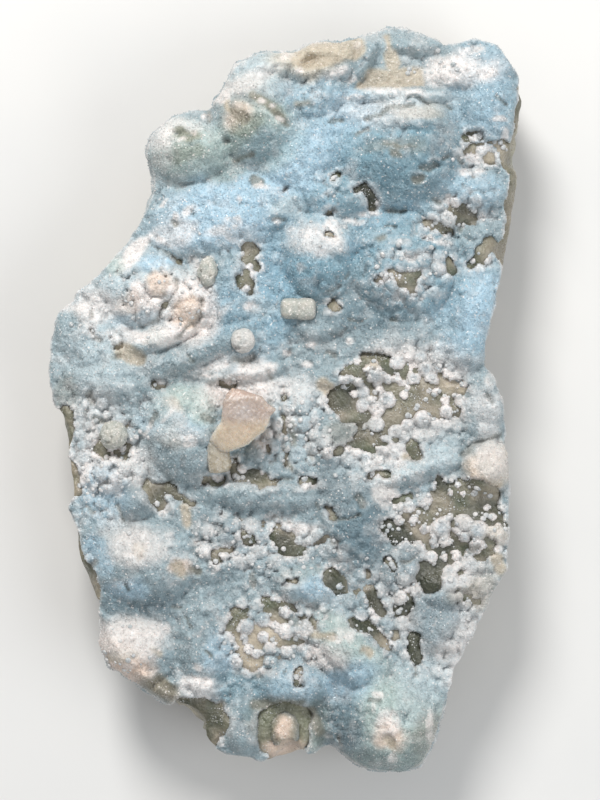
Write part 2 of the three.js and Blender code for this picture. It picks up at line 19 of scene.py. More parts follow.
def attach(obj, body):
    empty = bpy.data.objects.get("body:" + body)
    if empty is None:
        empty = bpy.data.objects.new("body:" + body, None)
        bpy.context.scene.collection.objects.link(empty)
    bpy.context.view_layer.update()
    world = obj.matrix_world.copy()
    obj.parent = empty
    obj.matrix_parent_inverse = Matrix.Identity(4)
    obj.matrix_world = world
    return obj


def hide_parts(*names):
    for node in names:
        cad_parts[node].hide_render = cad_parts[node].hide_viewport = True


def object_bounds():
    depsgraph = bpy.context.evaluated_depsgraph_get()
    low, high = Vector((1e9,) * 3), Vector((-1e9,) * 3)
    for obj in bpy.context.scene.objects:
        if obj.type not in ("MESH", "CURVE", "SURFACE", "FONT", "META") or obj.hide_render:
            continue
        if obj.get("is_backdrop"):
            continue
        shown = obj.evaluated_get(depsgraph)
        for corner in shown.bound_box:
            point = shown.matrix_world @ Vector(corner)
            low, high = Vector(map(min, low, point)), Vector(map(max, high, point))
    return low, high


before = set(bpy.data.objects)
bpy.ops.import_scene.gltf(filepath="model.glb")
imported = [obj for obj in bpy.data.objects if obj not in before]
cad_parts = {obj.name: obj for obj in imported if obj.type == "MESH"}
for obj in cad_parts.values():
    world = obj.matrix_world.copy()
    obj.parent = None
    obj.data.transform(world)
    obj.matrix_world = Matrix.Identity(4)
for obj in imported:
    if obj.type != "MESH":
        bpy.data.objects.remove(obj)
cad_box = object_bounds()
MM = 0.001
print("solids:", ", ".join(sorted(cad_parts)))
print("box in mm:", [round(v / MM, 1) for v in cad_box[0]], [round(v / MM, 1) for v in cad_box[1]])

# %% [markdown]
# ## Working on a grid of heights
# The crust could be sculpted by hand or made of thousands of separate balls. A grid of heights is better
# here: the front faces one way, so one height for each place describes it, and a formula can shape all of
# it at once. The grid is fine enough for a ball half a millimetre wide. All lengths below are millimetres
# until a mesh is made.

# %% The grid
FINE = 0.2
REACH_X, REACH_Y = 26.4, 40.0
grid_x, grid_y = np.meshgrid(np.arange(-REACH_X, REACH_X, FINE), np.arange(-REACH_Y, REACH_Y, FINE))
print("grid:", grid_x.shape, "points")


# %% Noise that is the same on every run
def scatter(i, j, k, seed):
    """A number from 0 to 1 for each whole-number cell."""
    n = (i * 73856093) ^ (j * 19349663) ^ (k * 83492791) ^ (seed * 2654435761)
    n = (n ^ (n >> 13)) * 1274126177
    n = (n ^ (n >> 16)) * 60493
    return ((n ^ (n >> 11)) & 0xFFFFF) / 0xFFFFF


def noise(x, y, z, width, seed):
    """Smooth noise from 0 to 1 over cells of the given width."""
    cells = [np.floor(np.asarray(a) / width).astype(np.int64) for a in (x, y, z)]
    parts = [np.asarray(a) / width - cell for a, cell in zip((x, y, z), cells)]
    u, v, w = (p * p * (3 - 2 * p) for p in parts)
    total = 0
    for corner in np.ndindex(2, 2, 2):
        share = math.prod(p if step else 1 - p for p, step in zip((u, v, w), corner))
        total = total + share * scatter(*(cell + step for cell, step in zip(cells, corner)), seed)
    return total


# %% Rough noise, ramps and mixes
def rough(x, y, z, width, seed, octaves=3):
    """Noise from -1 to 1 whose finer layers are weaker."""
    total, weight = 0, 0
    for step in range(octaves):
        share = 0.5**step
        total = total + share * (2 * noise(x, y, z, width * 0.5**step, seed + step) - 1)
        weight += share
    return total / weight


def ramp(value, low, high):
    """0 below low, 1 above high, smooth between."""
    t = np.clip((value - low) / (high - low), 0, 1)
    return t * t * (3 - 2 * t)


def mix(a, b, share):
    return a + (b - a) * share


def rough2(x, y, width, seed, octaves=3):
    """The same noise over a plane."""
    return rough(x, y, np.zeros_like(x), width, seed, octaves)


def grid_rough(width, seed, octaves=3):
    """The same noise over the whole grid."""
    return rough2(grid_x, grid_y, width, seed, octaves)


# %% [markdown]
# ## The outline comes from the solids
# Rays cast straight down on the solids tell where the flake ends and how high it stands. Bare patches and
# narrow gaps are filled in, and the distance to the outline is then known at each place, on which all near
# the rim depends.

# %% Look down on the solids
DOWN, UP = Vector((0, 0, -1)), Vector((0, 0, 1))
FAR_UP = 40


def tree_of(node):
    """The node's surface, in millimetres, ready for rays."""
    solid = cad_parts[node].data
    return BVHTree.FromPolygons([v.co / MM for v in solid.vertices], [p.vertices[:] for p in solid.polygons])


def heights(tree, x, y, start, way):
    """Height at which a vertical ray meets the surface, or 0 where it misses."""
    hits = (tree.ray_cast(Vector((a, b, start)), way)[0] for a, b in zip(x.ravel(), y.ravel()))
    return np.array([hit.z if hit else 0.0 for hit in hits]).reshape(x.shape)


crust_tree, stone_tree = tree_of("hemimorphite_crust"), tree_of("smithsonite_stone")
crust_seen = heights(crust_tree, grid_x, grid_y, FAR_UP, DOWN)
stone_seen = heights(stone_tree, grid_x, grid_y, FAR_UP, DOWN)
print("highest points in mm:", round(float(crust_seen.max()), 2), round(float(stone_seen.max()), 2))


# %% Fill the bare patches and find the edge
def with_neighbours(mask, axes=(0, 1)):
    """The mask and the points beside it along the given axes."""
    for field in [np.roll(mask, step, axis) for axis in axes for step in (1, -1)]:
        mask = mask | field
    return mask


def fill_holes(mask):
    """The mask with every place added that can't be reached from the grid's border."""
    outside = np.zeros_like(mask)
    outside[[0, -1], :] = outside[:, [0, -1]] = True
    while True:
        wider = with_neighbours(outside) & ~mask | outside
        if (wider == outside).all():
            return ~outside
        outside = wider


def grown(mask, steps):
    """The mask, wider by a number of grid steps, in a round way."""
    for step in range(steps):
        mask = with_neighbours(with_neighbours(mask, (0,)), (1,)) if step % 2 else with_neighbours(mask)
    return mask


def blurred(field, times):
    """The field, softened by a small blur that is repeated."""
    for _ in range(times):
        for axis in (0, 1):
            field = (np.roll(field, 1, axis) + 2 * field + np.roll(field, -1, axis)) / 4
    return field


# %% Where the flake is
STONE_IN_REACH = 2.6
CLOSED_OVER = 6
covered = (crust_seen > 0) | (stone_seen > np.median(crust_seen[crust_seen > 0]) - STONE_IN_REACH)
inside = ~grown(~grown(fill_holes(covered), CLOSED_OVER), CLOSED_OVER)
edge = inside & with_neighbours(~inside)
edge_x, edge_y = grid_x[edge], grid_y[edge]

AT_ONCE = 4000


def nearest_edge(x, y):
    """For each place, the number of the nearest edge point and the distance to it."""
    number, distance = [], []
    for first in range(0, x.size, AT_ONCE):
        part_x, part_y = x.ravel()[first : first + AT_ONCE], y.ravel()[first : first + AT_ONCE]
        gap = (part_x[:, None] - edge_x) ** 2 + (part_y[:, None] - edge_y) ** 2
        number.append(gap.argmin(1))
        distance.append(np.sqrt(gap.min(1)))
    return np.concatenate(number).reshape(x.shape), np.concatenate(distance).reshape(x.shape)


edge_number, edge_distance = nearest_edge(grid_x, grid_y)
rim_distance = blurred(np.where(inside, edge_distance, -edge_distance) + 0.5 * FINE, 5)
print("front's area in mm2:", round(inside.sum() * FINE**2), " edge points:", len(edge_x))


# %% Read a field between its grid points
def sample(field, x, y):
    """The field's value at each place, mixed from the four grid points around it."""
    u = np.clip((x + REACH_X) / FINE, 0, field.shape[1] - 1.001)
    v = np.clip((y + REACH_Y) / FINE, 0, field.shape[0] - 1.001)
    i, j = u.astype(int), v.astype(int)
    a, b = u - i, v - j
    if field.ndim == 3:
        a, b = a[..., None], b[..., None]
    low = field[j, i] * (1 - a) + field[j, i + 1] * a
    high = field[j + 1, i] * (1 - a) + field[j + 1, i + 1] * a
    return low * (1 - b) + high * b


# %% [markdown]
# ## The sides come from the solids too
# From each point of the outline a ray is cast towards the line down the flake's middle, at many heights. It
# tells how far in the side is there, so that the fine walls made later follow the solid's sides, flares and
# undercuts.

# %% Look at the sides
SPINE_TOP, SPINE_FOOT = np.array([3.0, 22.0]), np.array([0.0, -20.0])
SIDE_HEIGHTS = np.linspace(0.6, 13.4, 17)
RAY_START, RAY_LENGTH = 2.2, 9.0
FARTHEST_OUT = 1.8
EVENED_OVER = 0.7  # square of the length along the edge over which the insets are evened out


def towards_spine(x, y):
    """Unit vector from each place to the nearest point of the line down the middle."""
    along = SPINE_TOP - SPINE_FOOT
    share = np.clip(((x - SPINE_FOOT[0]) * along[0] + (y - SPINE_FOOT[1]) * along[1]) / (along @ along), 0, 1)
    to_x, to_y = SPINE_FOOT[0] + share * along[0] - x, SPINE_FOOT[1] + share * along[1] - y
    length = np.hypot(to_x, to_y) + 1e-6
    return to_x / length, to_y / length


edge_in_x, edge_in_y = towards_spine(edge_x, edge_y)
edge_apart = (edge_x[:, None] - edge_x) ** 2 + (edge_y[:, None] - edge_y) ** 2
nearness = np.exp(-edge_apart / EVENED_OVER)
nearness /= nearness.sum(1, keepdims=True)


# %% How far in the side is
def side_insets(tree):
    """How far in from the outline the side is, for each edge point and each height."""
    table = np.full((len(edge_x), len(SIDE_HEIGHTS)), np.nan)
    for row, (x, y, in_x, in_y) in enumerate(zip(edge_x, edge_y, edge_in_x, edge_in_y)):
        for level, z in enumerate(SIDE_HEIGHTS):
            start = Vector((x - RAY_START * in_x, y - RAY_START * in_y, z))
            hit = tree.ray_cast(start, Vector((in_x, in_y, 0)), RAY_LENGTH)
            if hit[0]:
                table[row, level] = hit[3] - RAY_START
        met = np.flatnonzero(~np.isnan(table[row]))
        table[row] = np.interp(np.arange(len(SIDE_HEIGHTS)), met, table[row, met]) if len(met) else 0
    return nearness @ np.clip(table, -FARTHEST_OUT, RAY_LENGTH)


def inset_at(table, number, z):
    """Reads a table of insets at the given edge points and heights."""
    step = SIDE_HEIGHTS[1] - SIDE_HEIGHTS[0]
    level = np.clip((z - SIDE_HEIGHTS[0]) / step, 0, len(SIDE_HEIGHTS) - 1.001)
    below = level.astype(int)
    return mix(table[number, below], table[number, below + 1], level - below)


crust_inset, stone_inset = side_insets(crust_tree), side_insets(stone_tree)
print("stone's side, farthest out and in, in mm:", round(stone_inset.min(), 2), round(stone_inset.max(), 2))

# %% Where the crust rolls over the edge
NEAR_THE_EDGE = 2.3
ROLLED_BELOW = 7.0
ALONG_OVER = 10
crust_points = np.array([v.co[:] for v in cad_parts["hemimorphite_crust"].data.vertices]) / MM
apart = np.hypot(edge_x[:, None] - crust_points[:, 0], edge_y[:, None] - crust_points[:, 1])
edge_foot = nearness @ np.where(apart < NEAR_THE_EDGE, crust_points[:, 2], 99).min(1)
edge_rolled = ramp(ROLLED_BELOW - edge_foot, 0, 0.8)
along_edge = np.exp(-edge_apart / ALONG_OVER)
edge_turned = ramp(along_edge @ edge_rolled / along_edge.sum(1), 0.5, 0.95)
rolled = blurred(edge_rolled[edge_number], 6)
print("share of the edge that is rolled:", round(float(edge_rolled.mean()), 2))

# %% Where the stone stands out past the crust
CRUST_EDGE_LOW, CRUST_EDGE_HIGH = 10.0, 12.8
near_front = (SIDE_HEIGHTS > CRUST_EDGE_LOW) & (SIDE_HEIGHTS < CRUST_EDGE_HIGH)
edge_setback = (1 - edge_rolled) * np.clip(crust_inset[:, near_front].min(1), 0, FARTHEST_OUT)
setback = blurred(edge_setback[edge_number], 4)
print("widest strip of stone past the crust in mm:", round(float(edge_setback.max()), 2))

# %% [markdown]
# ## The large relief
# The same swellings as the solids have, now at full fineness. Each is a dome: x, y, half-widths, turn in
# degrees and height. Their fourth powers are added, which follows the highest dome and still leaves a soft
# crease between two.

# %% The swellings
SWELLINGS = [
    (-9.9, 25.4, 4.4, 3.8, 0, 2.7), (-3.3, 28.4, 4.9, 4.9, 0, 3.4), (-2.3, 33.5, 3.2, 1.9, 10, 1.8),
    (3.2, 33.9, 3.8, 2.7, 0, 2.4), (2.7, 30.2, 3.4, 2.1, 25, 1.8), (7.8, 34.4, 0.9, 3.4, -22, 1.6),
    (12.9, 36.0, 2.8, 1.7, 0, 1.4), (17.2, 32.7, 3.2, 1.6, 0, 1.1), (20.7, 33.6, 2.2, 2.2, 0, 1.3),
    (20.4, 29.4, 2.8, 4.2, 0, 1.5), (11.7, 24.7, 6.5, 6.1, 0, 3.6), (11.4, 30.4, 5.4, 1.1, 0, 2.3),
    (18.7, 20.9, 3.9, 2.2, 0, 2.0), (15.0, 18.6, 2.6, 1.6, -25, 1.7), (19.2, 15.4, 1.9, 2.6, 0, 1.2),
    (11.6, 13.4, 5.4, 5.6, 0, 3.0), (3.3, 14.2, 3.8, 4.5, 0, 2.7), (4.2, 7.9, 3.6, 1.8, 20, 1.5),
    (19.0, 9.9, 3.0, 4.4, -12, 1.7), (18.2, 5.4, 2.6, 2.6, 0, 1.3), (4.2, 20.4, 4.2, 2.2, -5, 1.6),
    (1.2, 24.9, 4.6, 3.4, 30, 1.2), (-6.8, 18.4, 7.6, 4.0, 14, 1.4), (-6.3, 10.9, 3.0, 4.4, 0, 0.9),
    (-14.0, 10.9, 4.4, 4.0, 0, 2.3), (-10.0, 9.9, 2.8, 3.2, 0, 1.8), (-12.3, 6.4, 4.2, 1.4, 20, 1.5),
    (-18.3, 11.9, 2.8, 2.0, 30, 0.9), (-20.6, 6.4, 2.8, 3.2, 0, 1.0), (-8.8, 4.9, 6.2, 1.5, 24, 1.4),
    (-17.8, 1.4, 4.6, 2.0, -6, 1.1), (-4.3, 2.7, 4.6, 1.1, 8, 1.1), (-9.8, -3.4, 4.5, 5.2, 8, 2.8),
    (-17.3, -7.6, 3.2, 2.0, 0, 1.4), (-15.2, -10.2, 1.9, 1.9, 0, 1.6), (-3.0, -9.6, 6.4, 1.6, -2, 1.3),
    (1.2, -1.2, 2.4, 2.8, 0, 1.2), (4.2, -4.1, 2.2, 2.4, 0, 1.3), (6.2, -12.6, 3.2, 4.8, 12, 1.2),
    (6.7, 2.7, 4.6, 1.5, 10, 1.2), (19.5, -0.6, 2.7, 4.2, 0, 1.2), (19.9, -6.8, 2.6, 2.8, 0, 2.3),
    (13.7, -7.1, 4.4, 1.2, 18, 1.2), (19.2, -13.1, 2.8, 2.2, 0, 1.1), (-14.3, -16.3, 5.4, 4.2, 0, 2.8),
    (-15.6, -25.6, 4.3, 3.4, 0, 2.5), (-8.3, -16.1, 3.6, 2.4, 0, 1.2), (-5.8, -13.1, 3.8, 1.6, 0, 1.1),
    (2.2, -18.7, 3.4, 2.0, 0, 1.4), (-8.3, -24.1, 2.8, 4.6, 0, 1.2), (-9.8, -28.9, 3.6, 1.2, 0, 1.3),
    (0.7, -28.6, 3.6, 2.3, 0, 1.8), (-4.7, -33.1, 1.9, 2.5, 0, 1.3), (2.5, -34.0, 1.6, 2.2, 0, 1.1),
    (6.2, -25.1, 4.8, 3.4, -38, 2.1), (10.0, -32.6, 5.0, 5.0, 0, 3.2), (16.0, -18.9, 3.2, 2.0, 0, 1.0),
    (11.4, -17.8, 1.9, 2.8, 10, 1.0), (15.6, -23.6, 2.6, 2.4, 0, 0.8),
]

# %% Add the swellings up over the arched face
FLAKE, CROWN = 11.6, 1.3
HALF_WIDTH, HALF_LENGTH = 24.1, 37.7
CRUST_LEAST, SHARE_IN_STONE = 1.0, 0.8
FULLNESS = 0.8


def reach_of(patch, x, y):
    """Distance from an ellipse's centre, as a share of its half-width that way."""
    centre_x, centre_y, across, along, turn = patch[:5]
    angle = math.radians(turn)
    u = (x - centre_x) * math.cos(angle) + (y - centre_y) * math.sin(angle)
    v = (y - centre_y) * math.cos(angle) - (x - centre_x) * math.sin(angle)
    return np.hypot(u / across, v / along)


def swelling(x, y):
    """Height of all swellings together."""
    total = np.zeros_like(x)
    for dome in SWELLINGS:
        profile = np.clip(1 - reach_of(dome, x, y) ** 2, 0, 1) ** FULLNESS
        total += (dome[5] * profile) ** 4
    return total**0.25


def crown(x, y):
    """The flake's gently arched face under the swellings."""
    return FLAKE + CROWN * (1 - np.minimum(1, (x / HALF_WIDTH) ** 2 + (y / HALF_LENGTH) ** 2))


relief = swelling(grid_x, grid_y)
print("highest swelling in mm:", round(relief.max(), 2))

# %% [markdown]
# ## Where the crust is missing or thin
# Marks drawn with a round brush place the bare windows, the thin see-through spots and the narrow cracks. A
# brush mark bends as the real gaps do, which an ellipse can't. A mark is its width and the points it
# passes, all in tenths of a millimetre on a sheet laid over the specimen, counted from the sheet's upper
# left corner.

# %% Brush marks on a sheet
SHEET_MIDDLE = (288, 399)


def on_sheet(path):
    """Points in millimetres from a row of sheet coordinates."""
    points = np.array(path, float).reshape(-1, 2)
    return (points - SHEET_MIDDLE) / (10, -10)


def off_path(x, y, points, closed=False):
    """Distance to a line through the points."""
    nearest = np.full(np.shape(x), np.inf)
    ends = np.roll(points, -1, 0) if closed else points[1:]
    for (ax, ay), (bx, by) in zip(points, ends):
        length = (bx - ax) ** 2 + (by - ay) ** 2 + 1e-12
        share = np.clip(((x - ax) * (bx - ax) + (y - ay) * (by - ay)) / length, 0, 1)
        nearest = np.minimum(nearest, np.hypot(x - mix(ax, bx, share), y - mix(ay, by, share)))
    return nearest


def within_marks(marks, x, y):
    """How far inside the nearest brush mark each place is."""
    within = np.full(x.shape, -9.0)
    for width, *path in marks:
        within = np.maximum(within, width / 20 - off_path(x, y, on_sheet(path)))
    return within


# %% Bare windows
BARE = [
    # upper half: beaded windows at the right, the triangle, the slot
    (10, 468, 152, 500, 160), (16, 474, 152, 500, 148), (9, 467, 138, 479, 136), (6, 356, 191, 366, 187),
    (9, 369, 192, 373, 206), (12, 455, 208, 460, 218), (13, 464, 215, 471, 219),
    (7, 429, 224, 437, 226, 443, 233), (12, 490, 240, 486, 258), (8, 480, 250, 474, 264),
    (9, 380, 281, 388, 274), (9, 405, 286, 415, 275), (12, 400, 280, 412, 290), (5, 449, 261, 454, 272),
    (12, 249, 248, 253, 252), (9, 247, 258, 256, 268), (6, 240, 276, 244, 286), (10, 247, 272, 250, 290),
    (7, 332, 178, 337, 175), (4, 283, 191, 286, 188), (4, 330, 214, 335, 212), (8, 333, 303, 337, 308),
    (4, 327, 235, 333, 237),
    # the white group at the left
    (5, 172, 258, 180, 262), (8, 114, 338, 118, 345), (10, 157, 384, 163, 384), (9, 222, 382, 232, 383),
    (12, 66, 412, 67, 430), (10, 70, 468, 76, 492), (8, 96, 446, 108, 454), (7, 118, 452, 128, 446),
    (5, 126, 448, 127, 458),
    # under the calcite and left of the middle
    (12, 150, 488, 172, 490), (13, 156, 498, 162, 508), (6, 176, 495, 192, 502), (9, 206, 481, 220, 480),
    (12, 232, 462, 236, 472), (14, 240, 474, 262, 478), (7, 262, 484, 276, 484), (7, 262, 442, 266, 450),
    (2.4, 282, 387, 283, 399), (3, 285, 418, 287, 436), (2.6, 285, 454, 284, 465), (11, 247, 536, 251, 541),
    (7, 214, 552, 229, 550), (6, 216, 556, 218, 561), (17, 277, 534, 291, 545), (10, 284, 549, 301, 553),
    (12, 304, 482, 309, 483),
    # the beaded patches right of the middle
    (12, 366, 358, 390, 362), (14, 382, 366, 400, 370), (8, 356, 367, 362, 364), (22, 340, 402, 348, 412),
    (13, 336, 394, 350, 392), (5, 343, 374, 353, 366), (20, 352, 412, 372, 418), (16, 385, 420, 412, 408),
    (18, 400, 398, 428, 392), (16, 418, 404, 440, 410), (14, 448, 388, 462, 388), (12, 440, 398, 456, 410),
    (14, 362, 437, 390, 438), (7, 350, 446, 372, 448), (10, 412, 446, 416, 456), (5, 336, 453, 340, 448),
    (5, 369, 477, 388, 475),
    # lower right
    (7, 396, 502, 409, 497), (17, 388, 526, 398, 538), (9, 440, 480, 444, 492), (18, 462, 486, 492, 496),
    (17, 452, 500, 480, 512), (14, 432, 502, 446, 508), (12, 484, 512, 498, 518), (14, 408, 513, 430, 518),
    (12, 412, 537, 426, 536), (7, 450, 550, 454, 562), (19, 426, 572, 432, 584), (9, 486, 554, 494, 548),
    (10, 462, 578, 468, 572), (8, 430, 553, 436, 555), (10, 400, 610, 411, 607), (6, 409, 592, 412, 604),
    (12, 413, 638, 417, 658), (12, 372, 594, 377, 610), (7, 356, 622, 372, 628), (6, 376, 632, 388, 648),
    (15, 332, 575, 340, 588), (4, 366, 571, 370, 577), (4, 384, 646, 398, 634), (8, 388, 560, 394, 566),
    (6, 466, 600, 476, 602), (5, 326, 506, 331, 516),
    # lower middle and the foot
    (9, 236, 612, 242, 615), (9, 264, 602, 282, 604), (5, 284, 605, 296, 609), (16, 244, 640, 252, 664),
    (12, 234, 624, 238, 634), (17, 258, 634, 280, 626), (12, 268, 642, 296, 640), (4, 284, 584, 296, 580),
    (8, 298, 671, 299, 681), (16, 174, 712, 214, 714), (28, 200, 718, 214, 724), (20, 192, 716, 210, 736),
    (26, 270, 724, 272, 742), (16, 276, 712, 304, 716), (14, 298, 726, 300, 744), (12, 180, 704, 206, 708),
]

# %% Cracks and thin spots
CRACKS = [
    (2.4, 149, 243, 158, 249, 167, 253),
    (3, 176, 280, 176, 290, 171, 300, 164, 310, 158, 320, 148, 325, 141, 328),
    (3.4, 203, 300, 203, 307, 199, 318, 192, 325, 184, 332, 177, 339), (3, 92, 331, 95, 337, 101, 339),
    (2.4, 90, 311, 91, 318), (3, 113, 358, 120, 358), (3, 190, 356, 193, 361), (2.4, 86, 413, 91, 405),
    (3, 95, 418, 104, 421), (2.4, 271, 378, 269, 372), (2.4, 270, 400, 271, 408), (3, 118, 505, 123, 520),
    (2.6, 100, 485, 108, 484), (5, 87, 507, 92, 512), (3, 144, 482, 150, 480, 158, 483, 172, 481),
    (2.6, 127, 583, 129, 590), (3.4, 365, 120, 374, 117, 381, 116, 387, 108, 398, 107, 412, 109),
    (2.6, 408, 99, 420, 100, 432, 104, 443, 106, 452, 109), (3, 355, 137, 361, 134, 366, 131),
    (3, 328, 122, 334, 121, 341, 120), (5, 421, 170, 428, 172, 434, 167), (3, 442, 160, 448, 156),
    (3.6, 386, 208, 395, 212, 405, 210), (2.4, 432, 200, 438, 204), (3, 460, 157, 463, 161),
    (3.4, 495, 97, 502, 101, 506, 104), (2.4, 473, 178, 477, 176), (2.4, 383, 228, 388, 226, 393, 227),
    (2.4, 273, 221, 278, 218, 283, 221), (2.4, 192, 211, 194, 214), (2.6, 329, 291, 335, 290, 340, 286),
    (2.4, 350, 320, 358, 321, 366, 318), (2.6, 331, 335, 338, 333, 344, 329), (2.4, 391, 319, 396, 319),
    (2.4, 346, 279, 350, 273), (3, 308, 452, 312, 460), (2.4, 293, 478, 280, 480),
    (2.4, 273, 516, 283, 520, 293, 522), (2.4, 326, 536, 333, 543, 340, 541),
    (3, 335, 518, 350, 517, 358, 515), (2.4, 317, 503, 320, 508),
    (3.4, 463, 454, 474, 445, 488, 440, 500, 437), (2.4, 488, 396, 493, 403), (2.4, 172, 605, 182, 606),
    (2.4, 187, 617, 192, 626), (6, 165, 704, 185, 707, 205, 706, 222, 704), (2.6, 370, 700, 379, 700),
    (2.4, 283, 673, 286, 671), (2.4, 416, 666, 417, 676), (2.4, 418, 440, 410, 448),
    (3, 224, 141, 228, 143), (3, 209, 110, 209, 121), (2.4, 350, 617, 358, 622), (2.4, 337, 736, 340, 744),
    (2.4, 400, 560, 410, 562, 418, 553), (5, 462, 225, 460, 230), (6, 167, 254, 178, 261),
    (7, 90, 396, 93, 402), (7, 236, 361, 242, 362, 252, 357), (7, 206, 417, 212, 421),
    (5, 152, 424, 157, 415), (5, 89, 565, 97, 560), (7, 358, 496, 363, 505), (5, 326, 353, 334, 356),
    (6, 468, 552, 478, 548), (7, 292, 620, 300, 622), (5, 256, 672, 260, 678), (5, 252, 574, 254, 586),
]
THIN_BEIGE = [
    (18, 124, 352, 136, 357), (28, 304, 60, 320, 56, 336, 51, 352, 47), (24, 374, 78, 414, 77),
    (8, 360, 87, 370, 84), (8, 387, 36, 390, 48), (16, 391, 54, 393, 64), (12, 184, 508, 187, 522),
    (16, 484, 466, 494, 482), (14, 322, 384, 328, 388), (10, 366, 362, 374, 366), (6, 228, 104, 229, 112),
    (14, 498, 560, 500, 570), (12, 178, 564, 182, 572), (14, 112, 656, 134, 654), (8, 154, 648, 160, 652),
    (12, 386, 734, 390, 740), (8, 364, 646, 370, 652), (10, 138, 548, 141, 555), (8, 404, 458, 414, 456),
    (9, 316, 634, 332, 636),
]
THIN_OLIVE = [
    (9, 254, 99, 266, 105, 277, 114, 286, 126), (14, 236, 117, 244, 122), (6, 297, 106, 304, 105, 310, 103),
    (5, 233, 160, 243, 158, 253, 155), (9, 378, 240, 382, 238), (5, 384, 146, 400, 148, 416, 147),
    (8, 414, 180, 420, 180), (7, 172, 222, 177, 226), (10, 160, 676, 172, 688), (5, 205, 650, 212, 656),
    (8, 284, 462, 292, 470), (12, 256, 706, 300, 702), (12, 312, 710, 320, 732), (7, 291, 424, 293, 444),
    (8, 190, 568, 198, 571), (10, 256, 180, 260, 182), (10, 392, 154, 398, 156),
]
print("brush marks:", len(BARE) + len(CRACKS) + len(THIN_BEIGE) + len(THIN_OLIVE))


# %% Lay the marks down
def bent(x, y, by, width, seed):
    """The place (x, y), moved a little by noise."""
    return x + by * rough2(x, y, width, seed), y + by * rough2(x, y, width, seed + 9)


ragged = grid_rough(0.9, 15, 2)
bent_x, bent_y = bent(grid_x, grid_y, 0.3, 1.4, 11)
within_bare = within_marks(BARE, bent_x, bent_y) + 0.1 + 0.22 * ragged
bare, window_core = ramp(within_bare, -0.15, 0.15), ramp(within_bare, 0, 0.2)
cracked = ramp(within_marks(CRACKS, bent_x, bent_y) + 0.15 * ragged, -0.3, 0.16)
thin_beige, thin_olive = (
    ramp(within_marks(marks, bent_x, bent_y) + 0.25 * ragged, -0.2, 0.3) for marks in (THIN_BEIGE, THIN_OLIVE)
)
thin = np.maximum(thin_beige, thin_olive) * (1 - bare)
print("share of the front that is bare:", round(float(bare[inside].mean()), 3))
print("share of the front that is thin:", round(float(thin[inside].mean()), 3))

# %% [markdown]
# ## Smooth, sugary or knobbly
# Over the blue slopes the balls have merged into a skin, and elsewhere they still stand apart like beads.
# Lists of soft patches say where. A patch is x, y, half-widths, turn in degrees and strength.

# %% Kinds of growth
SMOOTH = [
    (-6.4, 18.6, 7.4, 3.6, 14, 1.0), (1.2, 24.4, 5.6, 3.2, 30, 0.8), (10.6, 21.6, 6.0, 3.6, 0, 0.6),
    (0.6, 10.6, 1.9, 6.4, -20, 1.0), (-5.6, 8.6, 3.0, 5.6, 0, 0.9), (8.6, 17.4, 4.0, 1.4, 40, 0.9),
    (17.6, 6.4, 3.2, 4.6, -20, 0.9), (8.6, 6.4, 6.0, 2.0, 6, 0.9), (-9.6, 24.6, 4.2, 3.0, 0, 0.9),
    (-3.2, 26.6, 4.6, 3.0, 0, 0.8), (-16.6, 3.2, 5.4, 2.4, 0, 0.9), (-7.6, 4.6, 5.6, 1.6, 24, 1.0),
    (-10.4, -4.6, 4.6, 3.6, 8, 1.0), (-1.6, -9.8, 6.6, 1.3, -3, 0.8), (6.8, -11.6, 3.4, 5.0, 15, 0.7),
    (-13.6, -18.4, 6.4, 3.0, 0, 1.0), (-9.4, -24.4, 2.6, 4.6, 0, 0.8), (7.0, -25.8, 4.6, 2.2, -38, 1.0),
    (10.2, -32.2, 4.6, 4.6, 0, 1.0), (19.6, -0.2, 1.8, 3.8, 0, 0.8), (13.2, -6.2, 4.8, 1.0, 18, 0.6),
    (12.0, 28.6, 6.6, 1.6, 0, 0.8), (19.8, 29.0, 2.4, 4.6, 0, 0.8), (0.6, -28.8, 3.6, 2.2, 0, 0.8),
    (-4.6, -32.6, 1.8, 2.6, 0, 0.8), (1.6, -18.4, 3.4, 1.4, 0, 0.5), (-12.6, -12.4, 3.0, 1.6, 0, 0.4),
    (4.6, -8.4, 2.6, 2.0, 0, 0.7), (-12.4, -29.2, 3.4, 1.3, -25, 0.8), (9.6, -15.8, 2.2, 2.4, 0, 0.5),
    (14.6, -21.6, 2.0, 3.2, 0, 1.0),
]
BOLD = [
    (-13.6, 10.4, 4.6, 3.8, 0, 1.0), (-9.8, 9.4, 2.6, 3.0, 0, 1.0), (-19.4, 9.0, 3.6, 3.4, 0, 0.7),
    (3.2, 16.4, 3.4, 2.0, 0, 0.7), (12.2, 12.6, 4.0, 3.0, 0, 0.7), (12.8, 1.2, 6.4, 4.6, 0, 1.0),
    (-17.6, -5.8, 4.2, 5.2, 0, 0.9), (15.8, -12.4, 6.4, 5.0, 0, 1.0), (12.6, -20.4, 6.4, 5.4, 0, 0.8),
    (-1.2, -24.2, 5.4, 4.6, 0, 1.0), (-4.4, -14.6, 6.0, 3.4, 0, 0.9), (0.8, -3.6, 4.2, 4.6, 0, 0.9),
    (-16.2, -25.2, 4.2, 2.8, 0, 0.9), (-13.6, -14.4, 2.6, 1.6, 0, 0.7), (19.6, 24.2, 2.8, 1.8, 0, 0.9),
    (16.8, 17.6, 4.2, 3.0, 0, 0.8), (-8.6, 17.6, 3.4, 2.2, 0, 0.4), (19.6, -6.8, 2.6, 2.8, 0, 0.5),
    (16.8, 32.8, 4.6, 1.8, 0, 0.7), (5.4, 21.4, 3.6, 2.0, 0, 0.5), (-3.6, 0.4, 6.0, 1.8, 0, 0.7),
    (2.2, -15.6, 3.6, 2.4, 0, 0.8), (8.4, -7.2, 5.4, 1.8, 10, 0.7), (17.6, -25.6, 3.0, 4.4, 0, 0.7),
]
